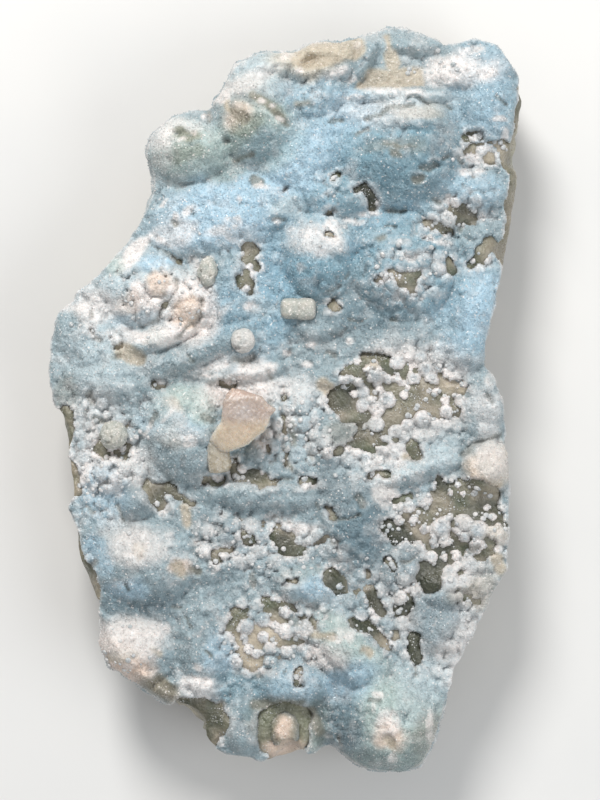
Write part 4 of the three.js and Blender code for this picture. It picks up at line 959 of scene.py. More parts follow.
# %% Soft patches of colour
# soft patches: x, y, half-widths, turn, strength and colour
COLOUR_PATCHES = [
    # the blue slopes of the upper half
    (-6.4, 18.6, 8.0, 4.2, 14, 1.0, SKY), (0.4, 14.0, 3.4, 9.0, -20, 1.0, VALLEY),
    (-5.0, 8.0, 4.0, 5.4, 0, 0.7, VALLEY), (6.0, 21.6, 9.0, 5.2, 10, 0.6, AZURE),
    (1.6, 24.2, 6.4, 3.4, 30, 0.9, SKY), (8.8, 16.6, 5.6, 1.8, 38, 1.0, VALLEY),
    (17.8, 8.4, 3.8, 6.4, -18, 1.0, MID_SKY), (19.6, 30.4, 3.4, 5.6, 0, 0.9, MID_SKY),
    (11.6, 29.8, 6.0, 1.2, 0, 0.8, PALE), (9.6, 6.6, 7.0, 2.0, 6, 0.8, TEAL),
    # painted shade: the two deep teal patches at 12.6, 22.6 and 11.6, 20.6 darken the lower side of the large
    # dome
    (11.4, 24.0, 6.4, 4.4, 0, 0.9, AZURE), (12.6, 22.6, 5.0, 3.0, 0, 0.42, DEEP_TEAL),
    (11.6, 20.6, 4.6, 1.4, 0, 0.35, DEEP_TEAL), (6.6, 28.6, 2.6, 2.2, 0, 0.8, SKY),
    (13.4, 28.8, 2.6, 0.9, 0, 0.45, BEIGE), (10.6, 18.6, 4.6, 1.0, 0, 0.5, MID_SKY),
    (-3.2, 26.2, 4.6, 3.4, 0, 0.8, AQUA), (-9.8, 24.6, 4.4, 3.2, 0, 0.8, AQUA),
    (-2.4, 32.6, 4.2, 2.4, 0, 0.7, PALE), (2.6, 30.0, 3.6, 2.4, 0, 0.7, MID_SKY),
    (11.8, 13.4, 5.6, 5.6, 0, 0.8, AZURE), (3.4, 13.4, 3.6, 3.4, 0, 0.8, AZURE),
    (7.8, 9.0, 5.0, 2.4, 0, 0.7, DEEP_TEAL), (19.4, 9.6, 2.0, 3.4, -18, 0.8, SKY),
    # painted shade: the green-grey patch at -6.6, 22.6 lies in the seam below the two balls, and the deep
    # teal one at 15.6, 25.4 in a hollow
    (-3.0, 25.6, 3.4, 1.8, 0, 0.5, GREEN_GREY), (-6.6, 22.6, 2.6, 1.0, 0, 0.7, GREEN_GREY),
    (11.0, 25.2, 3.6, 1.0, 0, 0.4, OLIVE), (15.6, 25.4, 1.6, 1.4, 0, 0.6, DEEP_TEAL),
    (-4.6, 30.0, 3.4, 2.6, 0, 0.35, OLIVE), (2.0, 34.0, 4.4, 2.4, 10, 0.7, BEIGE),
    # the white groups
    (-14.6, 11.0, 5.4, 4.4, 0, 0.8, PALE), (-9.6, 9.0, 2.8, 3.4, 0, 0.8, WHITE),
    (-14.4, 9.8, 1.9, 1.2, 0, 0.9, WHITE), (-10.0, 8.8, 1.8, 1.5, 0, 0.9, TAN),
    (-12.9, 11.4, 1.5, 1.1, 0, 0.9, TAN), (-13.0, 13.4, 2.4, 0.9, 0, 0.9, SKY),
    (-15.4, 14.6, 3.0, 0.8, 40, 0.8, WHITE), (-17.6, 11.0, 1.9, 1.8, 0, 0.9, PALE),
    (-16.8, 7.8, 1.6, 1.5, 0, 0.9, MILKY_BLUE), (-15.0, 10.8, 1.2, 1.0, 0, 0.8, WHITE),
    (-12.8, 6.2, 1.8, 1.0, 0, 0.7, AQUA), (-14.0, 8.2, 1.4, 1.1, 0, 0.7, MILKY_BLUE),
    (-10.8, 10.8, 1.4, 0.7, 0, 0.8, WHITE), (-15.2, 6.2, 1.4, 0.8, 0, 0.8, WHITE),
    (-17.6, 13.4, 1.0, 1.0, 0, 0.7, AQUA), (-11.2, 6.8, 1.4, 0.9, 0, 0.6, WHITE),
    (-18.8, 6.8, 1.2, 1.0, 0, 0.7, PALE), (3.0, 16.6, 3.6, 2.2, 0, 0.5, PALE),
    (-3.6, 0.6, 7.6, 1.6, 4, 0.8, WHITE), (-19.6, 9.6, 3.4, 2.4, 0, 0.4, PALE),
    (-11.2, 16.8, 2.0, 1.6, 0, 0.5, WHITE), (-6.0, 16.4, 2.4, 1.0, -10, 0.6, WHITE),
    (19.8, 24.2, 2.2, 1.2, 0, 0.6, WHITE), (17.0, 32.8, 4.6, 1.6, 0, 0.6, WHITE),
    # the teal band, the light dome and the left side
    (-17.0, 3.0, 6.0, 2.6, 0, 0.8, TEAL), (-16.2, 6.2, 2.0, 1.0, 0, 0.7, WHITE),
    (-7.8, 4.4, 6.0, 1.6, 24, 0.8, TEAL), (-9.4, 7.2, 4.4, 0.6, 30, 0.6, WHITE),
    (-18.4, -1.8, 4.4, 3.4, 0, 0.5, PALE), (-10.4, -1.2, 3.2, 3.2, 8, 0.9, AQUA),
    (-10.8, -1.8, 0.9, 2.6, 32, 0.5, PEACH), (-10.2, -6.0, 4.8, 1.8, 0, 0.8, TEAL),
    (-11.4, -2.6, 4.0, 1.4, 0, 0.5, SKY), (-3.0, -3.4, 1.6, 1.2, 0, 0.8, FROST),
    (-17.4, -6.6, 4.2, 3.0, 0, 0.5, WHITE), (-15.2, -10.2, 2.0, 2.0, 0, 0.8, GREY_BLUE),
    (-18.6, -9.6, 2.8, 3.2, 0, 0.6, SKY),
    # the middle
    (0.8, -2.0, 3.6, 4.0, 0, 0.6, PALE), (4.4, -3.6, 2.2, 2.4, 0, 0.8, TEAL),
    (-2.8, -9.8, 6.6, 1.4, -2, 0.9, TEAL), (5.4, -8.6, 3.4, 3.0, 10, 0.8, GREY_BLUE),
    (7.2, -13.2, 3.4, 3.6, 15, 0.9, DEEP_TEAL), (9.6, -9.6, 1.4, 1.2, 0, 0.8, FROST),
    (12.6, 0.8, 6.6, 5.0, 0, 0.8, FROST), (19.4, -0.4, 2.4, 4.2, 0, 0.9, TEAL),
    (12.8, -6.4, 5.6, 1.4, 18, 0.8, PALE), (20.2, -6.4, 2.2, 2.4, 0, 0.9, BEIGE),
    (19.6, -6.2, 1.6, 1.6, 20, 0.6, TAN), (8.6, -5.4, 4.6, 1.4, 0, 0.6, WHITE),
    (-1.6, -13.8, 4.6, 2.0, 0, 0.5, PALE), (0.8, -12.8, 2.4, 0.8, 0, 0.7, WHITE),
    (-6.4, -12.6, 2.8, 1.4, 0, 0.6, GREY_BLUE), (16.6, -13.6, 5.8, 3.2, 0, 0.7, FROST),
    (18.6, 20.6, 3.6, 2.2, 0, 0.8, MID_SKY), (-19.0, 4.0, 4.4, 3.6, 0, 0.6, PALE),
    # lower left and lower middle
    (-14.4, -17.8, 6.2, 3.8, 0, 0.9, TEAL), (-15.0, -20.4, 4.4, 1.4, 0, 0.6, DEEP_TEAL),
    (-19.0, -15.8, 1.6, 2.2, 0, 0.7, SKY), (-14.8, -14.6, 2.6, 1.8, 0, 0.3, PALE),
    (-15.0, -14.6, 0.9, 0.8, 0, 0.9, BEIGE), (-10.8, -16.6, 1.3, 1.0, 0, 0.7, PEACH),
    (-16.8, -24.2, 4.2, 2.0, 0, 0.9, WHITE), (-16.4, -26.2, 3.4, 2.2, -30, 1.0, PEACH),
    (-9.6, -23.4, 2.8, 4.4, 0, 0.7, TEAL), (-5.4, -29.2, 4.6, 1.4, 0, 0.6, AZURE),
    (-9.0, -28.6, 2.0, 1.2, -20, 0.6, WHITE), (-12.4, -29.0, 2.0, 1.2, -30, 0.8, BEIGE),
    (1.4, -17.6, 3.0, 1.2, 0, 0.25, AQUA), (-6.4, -22.6, 2.6, 1.6, 0, 0.5, GREY_BLUE),
    (-4.6, -17.4, 3.6, 2.0, 0, 0.7, TEAL), (0.4, -28.6, 3.4, 2.2, 0, 0.7, MID_SKY),
    (-4.6, -32.6, 2.2, 3.2, 0, 0.8, TEAL),
    # lower right and the dome at the foot
    (6.0, -24.4, 5.0, 1.8, -38, 0.8, AQUA), (6.6, -28.4, 3.0, 3.0, 0, 0.8, SKY),
    (3.4, -25.6, 1.4, 1.2, 0, 0.8, WHITE), (10.6, -31.6, 4.4, 4.4, 0, 0.9, AQUA),
    (10.2, -33.4, 1.8, 1.6, 0, 0.8, PEACH), (14.2, -27.4, 3.6, 2.4, 0, 0.6, PALE),
    (-0.3, -33.2, 2.0, 2.2, 0, 1.0, SAND), (-0.2, -32.9, 1.0, 1.3, 0, 0.8, PEACH),
    (15.4, -20.4, 5.6, 5.2, 0, 0.8, FROST), (17.2, -25.0, 2.8, 4.4, 20, 0.4, WHITE),
    (11.0, -16.8, 2.6, 2.8, 0, 0.7, GREY_BLUE), (6.0, -32.6, 1.6, 3.0, 0, 0.7, DEEP_TEAL),
    (13.6, -34.0, 1.4, 3.4, -10, 0.6, OLIVE), (9.6, -36.4, 4.0, 1.4, 0, 0.7, GREEN_GREY),
    # lighter ledges and veils
    (9.4, 28.6, 5.0, 1.4, 0, 0.3, WHITE), (0.2, 19.2, 2.0, 1.4, 0, 0.8, PALE),
    (-3.2, 15.6, 1.6, 1.4, 0, 0.3, PALE), (9.4, 16.4, 2.6, 1.0, 0, 0.3, PALE),
    (-6.2, 3.2, 4.2, 1.3, 10, 0.35, WHITE), (-3.0, 3.2, 1.8, 1.2, 0, 0.5, WHITE),
    (-3.2, 9.4, 1.8, 1.6, 0, 0.5, PALE), (9.6, 3.6, 2.6, 1.2, 0, 0.4, WHITE),
    (-19.4, -1.6, 2.4, 3.2, 0, 0.3, WHITE), (-10.6, -3.6, 3.0, 1.4, 0, 0.3, TAN),
    (19.2, -2.0, 1.8, 2.8, 0, 0.3, PALE), (-16.2, -13.2, 2.4, 1.4, 0, 0.3, WHITE),
    (-16.0, -19.0, 2.6, 1.4, 0, 0.8, SKY), (3.0, -19.0, 2.4, 1.2, 0, 0.8, SKY),
    (-6.6, -25.4, 1.8, 2.4, 0, 0.7, SKY), (3.8, -25.6, 2.2, 1.6, 0, 0.7, FROST),
    # painted shade: the teal patch at 19.2, 16.2 darkens a lump that lies in shadow
    (4.2, -20.2, 1.6, 1.2, 0, 0.6, PALE), (19.2, 16.2, 2.2, 1.8, 0, 0.8, TEAL),
    (3.2, 15.8, 2.8, 1.7, 0, 0.55, WHITE), (-3.8, 16.7, 2.2, 1.3, 0, 0.5, SKY),
    (-18.4, -25.8, 1.8, 2.0, 30, 0.7, PEACH), (19.4, -19.2, 2.0, 2.4, 0, 0.5, SAND),
    (20.6, -13.2, 1.4, 1.8, 0, 0.5, BEIGE), (-2.4, -32.4, 1.6, 2.0, 0, 0.6, GREEN_OLIVE),
    (3.0, -32.6, 1.4, 2.6, 0, 0.6, GREEN_OLIVE), (-19.2, 9.4, 2.4, 1.8, 0, 0.6, WHITE),
    (-16.0, 9.6, 1.4, 1.2, 0, 0.4, PEACH), (-12.8, 6.3, 1.8, 1.2, 0, 0.6, WHITE),
    (-12.8, -1.8, 1.8, 2.8, 0, 0.5, PALE), (-9.6, -3.4, 1.8, 1.4, 0, 0.4, SKY),
    (6.4, -6.6, 2.2, 1.4, 0, 0.5, PALE), (12.8, -30.4, 2.0, 2.6, 0, 0.4, PALE),
    (19.6, -2.0, 1.4, 3.4, 0, 0.4, WHITE), (14.6, -21.4, 2.4, 3.2, 0, 0.6, AZURE),
    (15.8, -24.6, 1.6, 2.0, 0, 0.5, FROST),
    # the two balls: pale crowns and soft olive spots
    (-11.6, 26.6, 3.0, 1.5, 10, 0.55, WHITE), (-10.0, 26.1, 1.3, 0.7, 5, 0.8, GREEN_OLIVE),
    (-10.0, 24.3, 2.2, 1.0, 0, 0.5, GREEN_OLIVE), (-12.6, 24.6, 1.2, 1.8, 0, 0.4, FROST),
    (-5.2, 28.2, 1.5, 1.3, 0, 0.6, TAN), (-4.4, 31.4, 3.0, 1.2, 20, 0.5, WHITE),
    (-2.0, 29.0, 2.2, 0.7, -42, 0.6, GREEN_OLIVE), (-3.8, 27.0, 1.8, 1.0, 0, 0.5, GREEN_OLIVE),
    # darker hollows: painted shade
    (-1.4, 25.2, 3.4, 1.6, 20, 0.4, VALLEY), (15.8, 25.4, 2.0, 2.0, 0, 0.4, DEEP_TEAL),
    (-6.4, 22.4, 2.4, 1.4, 0, 0.3, TEAL), (12.8, 12.8, 2.0, 1.6, 0, 0.4, DEEP_TEAL),
    (-22.2, 0.2, 1.2, 2.2, 0, 0.4, OLIVE), (6.2, -3.4, 2.2, 1.6, 0, 0.5, OLIVE),
    (15.0, -21.6, 4.0, 2.6, 0, 0.5, GREY_BLUE), (17.6, -19.4, 2.0, 1.2, 0, 0.4, OLIVE),
    (-12.6, -29.0, 2.4, 1.2, -30, 0.7, OLIVE), (-3.6, -32.4, 1.6, 1.8, 0, 0.5, DEEP_TEAL),
    (3.4, -31.6, 1.4, 2.6, 0, 0.5, DEEP_TEAL), (12.4, -35.0, 2.4, 1.4, 0, 0.4, GREEN_GREY),
]

# %% White tufts
WHITE_FLECKS = [
    # white tufts on the blue slopes: x, y and half-widths on the sheet, and turn
    (162, 203, 2.6, 7, -40), (189, 210, 8, 5, 40), (176, 217, 4, 4, 0), (227, 221, 5, 4, 0),
    (238, 222, 6, 7, 0), (239, 199, 4, 4, 0), (262, 187, 7, 3, 0), (277, 222, 5, 4, 0), (305, 234, 7, 6, 0),
    (332, 226, 9, 6, 0), (330, 240, 8, 5, 0), (300, 268, 4, 5, 0), (195, 265, 6, 8, 0), (208, 258, 7, 3, 0),
    (160, 240, 12, 3, -30), (168, 132, 9, 4, -10), (183, 142, 6, 2.5, 15), (196, 134, 3, 3, 0),
    (222, 97, 9, 7, 0), (206, 116, 6, 4, 0), (262, 104, 4, 3, 0), (272, 107, 4, 3, 0), (280, 121, 4, 3, 0),
    (300, 72, 5, 4, 0), (336, 74, 13, 4, 25), (286, 56, 8, 4, 15), (352, 80, 6, 4, 40), (358, 45, 4, 4, 0),
    (398, 93, 38, 5, -3), (355, 97, 10, 3, 0), (440, 62, 12, 4, -20), (462, 66, 8, 6, 0),
    (485, 72, 10, 6, 0), (450, 78, 10, 5, 0), (470, 50, 14, 4, 0), (500, 120, 8, 3, 0), (505, 135, 4, 8, 0),
    (470, 172, 14, 5, 0), (448, 200, 8, 6, 0), (404, 243, 6, 4, 0), (430, 240, 14, 3, -20),
    (368, 214, 12, 3, 0), (355, 222, 12, 3, 0), (310, 345, 6, 4, 0), (286, 353, 5, 4, 0),
    (306, 365, 5, 4, 0), (349, 340, 4, 4, 0), (250, 308, 9, 6, 0), (217, 366, 14, 4, 10),
    (250, 368, 12, 5, 0), (242, 376, 14, 4, 0), (270, 368, 8, 6, 0), (210, 375, 10, 3, 0),
    (124, 537, 6, 4, 30), (147, 544, 4, 6, 0), (127, 553, 5, 4, 0), (130, 632, 30, 7, 0),
    (160, 630, 10, 8, 0), (196, 682, 16, 7, 0), (200, 666, 6, 5, 0), (218, 728, 5, 9, 0),
    (327, 738, 4, 3, 0), (378, 694, 6, 4, 0), (374, 706, 3, 6, 0), (388, 722, 12, 14, 0),
    (430, 726, 4, 16, 0), (392, 756, 6, 5, 0), (490, 380, 6, 10, 0), (500, 448, 5, 8, 0),
    (310, 655, 6, 9, 0), (345, 632, 10, 6, -40), (336, 638, 9, 4, 0), (176, 560, 5, 3, 0),
    (172, 414, 12, 3, 45), (190, 440, 11, 7, 0), (148, 430, 3, 10, -30), (222, 392, 14, 3, 10),
    (85, 470, 4, 12, -15), (78, 488, 4, 8, 0), (104, 455, 12, 4, 0),
]

# %% More and less white
# white swellings a little greyer than the tufts, and where less white is laid on: partly growth that carries
# less white, partly painted shade on lumps that lie in shadow
SOFT_WHITE = [(-16.0, -23.8, 3.6, 2.2, 0), (-15.0, -14.8, 3.0, 2.0, 0), (20.4, -6.4, 1.8, 1.8, 0)]
LESS_WHITE = [
    (-13.6, 9.4, 5.4, 5.0, 0, 0.6), (19.0, 16.0, 2.6, 2.0, 0, 1.0), (14.6, -21.8, 2.6, 3.6, 0, 1.0),
    (17.4, -21.4, 3.6, 4.6, 20, 0.65), (13.4, -22.4, 3.4, 3.0, 0, 0.6), (11.2, -16.1, 3.0, 2.4, 0, 0.5),
    (6.4, -19.3, 2.6, 2.0, 0, 0.6), (8.0, -3.3, 4.0, 1.6, 0, 0.6), (19.0, -13.0, 2.6, 2.2, 0, 0.3),
    (2.6, -13.2, 3.4, 1.6, 0, 0.4), (0.2, -7.0, 2.6, 1.8, 0, 0.6), (-12.6, -9.4, 3.0, 2.0, 0, 0.4),
    (20.6, 24.4, 2.0, 2.0, 0, 1.0), (-16.0, -23.8, 3.6, 2.2, 0, 0.6), (-15.4, -14.6, 3.2, 2.2, 0, 0.7),
    (20.2, -6.0, 2.0, 2.4, 0, 0.8),
]


# %% Lay colours over each other
def veiled(colour, veil, share):
    """A colour with another laid over it, as strongly as the share says at each place."""
    return mix(colour, veil, share[..., None])


def laid_colours(x, y, ground):
    """The ground colour with every soft patch laid over it in turn."""
    wx, wy = bent(x, y, 0.9, 2.2, 61)
    colour = np.tile(ground, (x.size, 1)).reshape(*x.shape, 3)
    for patch in COLOUR_PATCHES:
        colour = veiled(colour, patch[6], patch[5] * ramp(1.3 - reach_of(patch, wx, wy), 0, 0.75))
    return colour


colour_here = laid_colours(grid_x, grid_y, TEAL)
print("mean colour of the patches:", colour_here[inside].mean(0).round(3))

# %% Whites, painted shade in the creases, painted highlight on the crests, and tufts over them
calm = (1 - ramp(1.4 - foot_reach, 0, 0.2)) * (1 - laid_over(LESS_WHITE, grid_x, grid_y))
whiteness = ramp(0.55 - thickness / full, 0, 0.5) * mix(0.25, 0.75, 1 - smooth_growth)
whiteness = whiteness * (0.6 + 0.5 * grid_rough(3.0, 71))
whiteness = np.clip(whiteness + 0.35 * bold_growth * ramp(ball_tag, 0.55, 0.75), 0, 1)
# partly frost on the rim, partly a painted highlight along the lit edge: the crust is whitened close to its
# rim
whiteness = np.maximum(whiteness, 0.55 * ramp(0.3 - rim_distance + setback, 0, 0.3))
whiteness = np.maximum(whiteness, 0.75 * bare)
core = ramp(ball_middle, 0.25, 0.5) * bold_growth * ramp(0.6 - ball_tag, 0, 0.1) * mix(0.3, 1, sparse)
# painted shade: the crust is coloured deep teal where it dips below its surroundings
painted_crease_shade = ramp(blurred(thickness, 6) - thickness, 0.04, 0.28) * (1 - 0.6 * bold_growth) * mix(0.4, 1, calm)
# painted highlight: the crust is whitened where it stands above its surroundings
painted_crest_highlight = ramp(thickness - blurred(thickness, 10), 0.05, 0.32) * (1 - 0.7 * smooth_growth) * calm
veils = [
    (WHITE, whiteness * calm), (MILKY_BLUE, 0.5 * core), (DEEP_TEAL, 0.55 * painted_crease_shade), (WHITE, 0.5 * painted_crest_highlight),
    (mix(BEIGE, OLIVE, 0.15), 0.85 * thin_beige), (OLIVE, 0.7 * thin_olive),
    (OLIVE, 0.42 * ramp(cracked, 0.3, 1)),
]
tufted = mix(0.45, 1, ramp(grid_rough(0.5, 87, 2), -0.35, 0.2)) * (0.68 - 0.4 * cracked)
for x, y, across, along, turn in WHITE_FLECKS:
    fleck = (*on_sheet((x, y))[0], across / 10, along / 10, turn)
    veils.append((WHITE, tufted * ramp(1.25 - reach_of(fleck, bent_x, bent_y) + 0.25 * ragged, 0, 0.6)))
# white specks: partly white grains, partly painted glints of the sugary skin
white_grains_and_glints = ramp(scatter(*np.indices(grid_x.shape), np.zeros(grid_x.shape, int), 81), 0.9, 1)
veils.append((WHITE, 0.4 * white_grains_and_glints * ramp(grid_rough(2.6, 83), -0.1, 0.4) * (1 - thin)))
for patch in SOFT_WHITE:
    veils.append((FROST, 0.7 * ramp(1.3 - reach_of(patch, bent_x, bent_y), 0, 0.6)))
frosty = ramp(grid_rough(1.3, 85), 0.12, 0.5) * (0.16 + 0.32 * bold_growth)
veils.append((WHITE, frosty * (1 - thin) * calm))
for veil, share in veils:
    colour_here = veiled(colour_here, veil, share)
print("mean crust colour:", colour_here[inside].mean(0).round(3))

# %% [markdown]
# ## The crust
# Front, rough broken edge and back are one closed mesh. On the rolled stretches the wall follows the solid
# down and inwards, as the real crust curls over the edge. The back lies a little way inside the stone, so
# no gap can show.

# %% Where the crust turns down, and where the stone comes out to the edge instead
covered = blurred((thickness > 0).astype(float), 6)
CLOSE_TO_EDGE = 0.9
covered_near = sample(covered, edge_x + CLOSE_TO_EDGE * edge_in_x, edge_y + CLOSE_TO_EDGE * edge_in_y)
edge_turned = edge_turned * ramp(covered_near, 0.4, 0.85)
edge_turned = along_edge**2 @ edge_turned / (along_edge**2).sum(1)
edge_filled = 1 - edge_rolled * (1 - edge_turned)
print("edge points where the crust turns down:", int((edge_turned > 0.5).sum()), "of", len(edge_turned))

# %% The crust's mesh
SUNK = 0.3  # how far the crust's back lies in the stone
CRUST_LEVELS = 15
LIP = 1.5  # how far in the foot reaches under a rolled edge, at least
FOOT_RAGGED = 1.3
STONE_COVERED = 1.3


def crust_wall(top, foot, share):
    """Points of the crust's edge between its top and its foot."""
    x, y, z = *top[:, :2].T, mix(top[:, 2], foot[:, 2], share)
    number, _ = nearest_edge(x, y)
    in_x, in_y = towards_spine(x, y)
    inset = np.maximum(0, inset_at(crust_inset, number, z)) * edge_rolled[number]
    grown = middle_knobs(*unrolled(x, y, top[:, 2] - z, in_x, in_y)) - 0.2 + 0.3 * rough(x, y, z, 0.9, 91)
    bulge = mix(0.28 * rough(x, y, z, 1.1, 91), 1.1 * grown, edge_turned[number])
    inset = (inset - bulge * math.sin(math.pi * share) ** 0.6) * min(1, 3 * share)
    return np.column_stack([x + in_x * inset, y + in_y * inset, z])


def unrolled(x, y, below, in_x, in_y):
    """Where a point of the edge would lie if the crust ran on flat past the rim instead of turning down."""
    return x - in_x * below, y - in_y * below


# %% Cut the crust out and close it
crust_reach = rim_distance - setback
chipped = grid_rough(1.3, 95)
crust_field = np.minimum(thickness, crust_reach - 0.1 + (0.3 + 0.15 * setback) * chipped)
crust_cut = cut_out(grid_x, grid_y, crust_field)
flat_x, flat_y = crust_cut[0].T
crust_on_rim = sample(crust_reach, flat_x, flat_y) < 0.4
under_edge = np.zeros(len(flat_x), bool)
under_edge[crust_cut[2].ravel()] = True
crust_face = sample(stone_face + np.maximum(thickness, 0), flat_x, flat_y)
crust_face = np.where(under_edge & ~crust_on_rim, sample(stone_face, flat_x, flat_y) - 0.06, crust_face)
number, _ = nearest_edge(flat_x, flat_y)
at_rim = under_edge & crust_on_rim
turned = edge_turned[number] * at_rim
foot_z = sample(stone_face, flat_x, flat_y) - SUNK
ragged_foot = edge_foot[number] + FOOT_RAGGED * rough2(flat_x, flat_y, 2.2, 97)
foot_z = mix(foot_z, np.minimum(foot_z, ragged_foot), turned)
in_x, in_y = towards_spine(flat_x, flat_y)
into_stone = STONE_COVERED + np.maximum(0, inset_at(stone_inset, number, foot_z)) * edge_filled[number]
into_lip = LIP + np.maximum(0, inset_at(crust_inset, number, foot_z))
foot_in = ramp(turned, 0, 0.35) * np.maximum(into_lip, into_stone)
crust_back = np.column_stack([flat_x + in_x * foot_in, flat_y + in_y * foot_in, foot_z])
crust_at, crust_faces, crust_flat, crust_depth = shell(
    crust_cut, crust_face, crust_back, crust_on_rim, crust_wall, CRUST_LEVELS, coarse_back=True
)
crust = make_piece("hemimorphite_skin", crust_at, crust_faces)

# %% Colour it and say where crystals will grow
crust_x, crust_y = flat_x[crust_flat], flat_y[crust_flat]


def at_crust(field):
    """A field of the grid, read at the crust's points."""
    return sample(field, crust_x, crust_y)


down_side = turned[crust_flat] * (crust_depth > 0)
below = crust_face[crust_flat] - crust_at[:, 2]
beyond_x, beyond_y = unrolled(crust_x, crust_y, below, in_x[crust_flat], in_y[crust_flat])
side_knobs = middle_knobs(beyond_x, beyond_y)
side_tufts = ramp(rough(beyond_x, beyond_y, below, 0.9, 99) + 0.6 * side_knobs, 0.25, 0.7)
# painted shade: the rolled side is coloured deep teal in the dips between its knobs
side_colour = veiled(laid_colours(beyond_x, beyond_y, TEAL), DEEP_TEAL, 0.5 * ramp(0.22 - side_knobs, 0, 0.2))
side_colour = veiled(side_colour, WHITE, 0.55 * side_tufts)
crust_tint = veiled(at_crust(colour_here), side_colour, down_side * ramp(below, 0, 1.2))
fading = ramp(crust_depth, 0.2, 0.9) * (1 - 0.8 * down_side)
paint(crust, "tint", veiled(crust_tint, mix(WHITE, BEIGE, 0.4), 0.6 * fading))
growth = (crust_depth < 0.5) * (0.45 + 0.55 * at_crust(smooth_growth * (1 - thin)))
growth = growth * (1 - 0.9 * at_crust(thin))
paint(crust, "growth", np.maximum(growth, 0.7 * down_side * (crust_depth < 0.95)))
paint(crust, "grains", (crust_depth < 0.2) * at_crust(bold_growth**2 * calm))

# %% [markdown]
# ## The stone
# The flake itself, made in the same way. Its front shows in the bare patches, its sides are an uneven break
# that follows the solid's sides, and its back stands on the solid's flat pads with fresh, hackly stone
# between them.

# %% The stone's mesh
STONE_FINE = 0.3
STONE_LEVELS = 16
FOOT_HEIGHT, DRAWN_IN_OVER = 1.2, 9.0
stone_x, stone_y = np.meshgrid(*(np.arange(-reach, reach, STONE_FINE) for reach in (REACH_X, REACH_Y)))


def broken(x, y, z, seed):
    """Uneven break of a massive stone: broad steps with finer ones on them, from about -1 to 1."""
    steps = np.round(3 * rough(x, y, z, 3.6, seed, 2)) / 3
    return 0.45 * steps + 0.35 * rough(x, y, z, 2.4, seed + 5, 3) + 0.2 * rough(x, y, z, 0.8, seed + 9, 2)


def stone_wall(top, foot, share):
    """Points of the stone's side between its front and its back."""
    x, y, z = *top[:, :2].T, mix(top[:, 2], foot[:, 2], share)
    number, _ = nearest_edge(x, y)
    in_x, in_y = towards_spine(x, y)
    flat_inset = (edge_x[number] - x) * in_x + (edge_y[number] - y) * in_y
    inset = inset_at(stone_inset, number, z) * edge_filled[number] + flat_inset
    inset = (inset + 0.28 + 0.42 * broken(x, y, z, 101)) * min(1, 5 * share)
    return np.column_stack([x + in_x * inset, y + in_y * inset, z])


# %% Cut the stone out and close it
stone_field = rim_distance - 0.25 - 0.9 * rolled + 0.22 * chipped
stone_cut = cut_out(stone_x, stone_y, sample(stone_field, stone_x, stone_y))
flat_x, flat_y = stone_cut[0].T
number, off_rim = nearest_edge(flat_x, flat_y)
in_x, in_y = towards_spine(flat_x, flat_y)
foot_inset = inset_at(stone_inset, number, np.full(len(number), FOOT_HEIGHT)) * edge_filled[number]
drawn_in = np.maximum(0.4, foot_inset) * (1 - ramp(off_rim, 0, DRAWN_IN_OVER))
back_x, back_y = flat_x + in_x * drawn_in, flat_y + in_y * drawn_in
solid_back = heights(stone_tree, back_x, back_y, -FAR_UP, UP)
hackly = ramp(solid_back, 0.02, 0.9) * (0.3 + 0.75 * broken(back_x, back_y, 0 * back_x, 111))
stone_back = np.column_stack([back_x, back_y, np.maximum(0, solid_back + hackly)])
everywhere = np.ones(len(flat_x), bool)
stone_top = sample(stone_face, flat_x, flat_y)
stone_at, stone_faces, _, stone_depth = shell(
    stone_cut, stone_top, stone_back, everywhere, stone_wall, STONE_LEVELS, coarse_back=False
)
stone = make_piece("smithsonite_flake", stone_at, stone_faces)

# %% Colour the stone and say where beads will grow
FLANK, FLANK_GREY, BACK = pigment(176, 164, 142), pigment(140, 140, 124), pigment(158, 148, 128)
MOSSY_GREY, WARM_GREY = pigment(84, 90, 70), pigment(150, 141, 125)


def at_stone(field):
    """A field of the grid, read at the stone's points."""
    return sample(field, stone_at[:, 0], stone_at[:, 1])


open_here = ramp(at_stone(blurred((thickness < 0).astype(float), 10)), 0.1, 0.5)
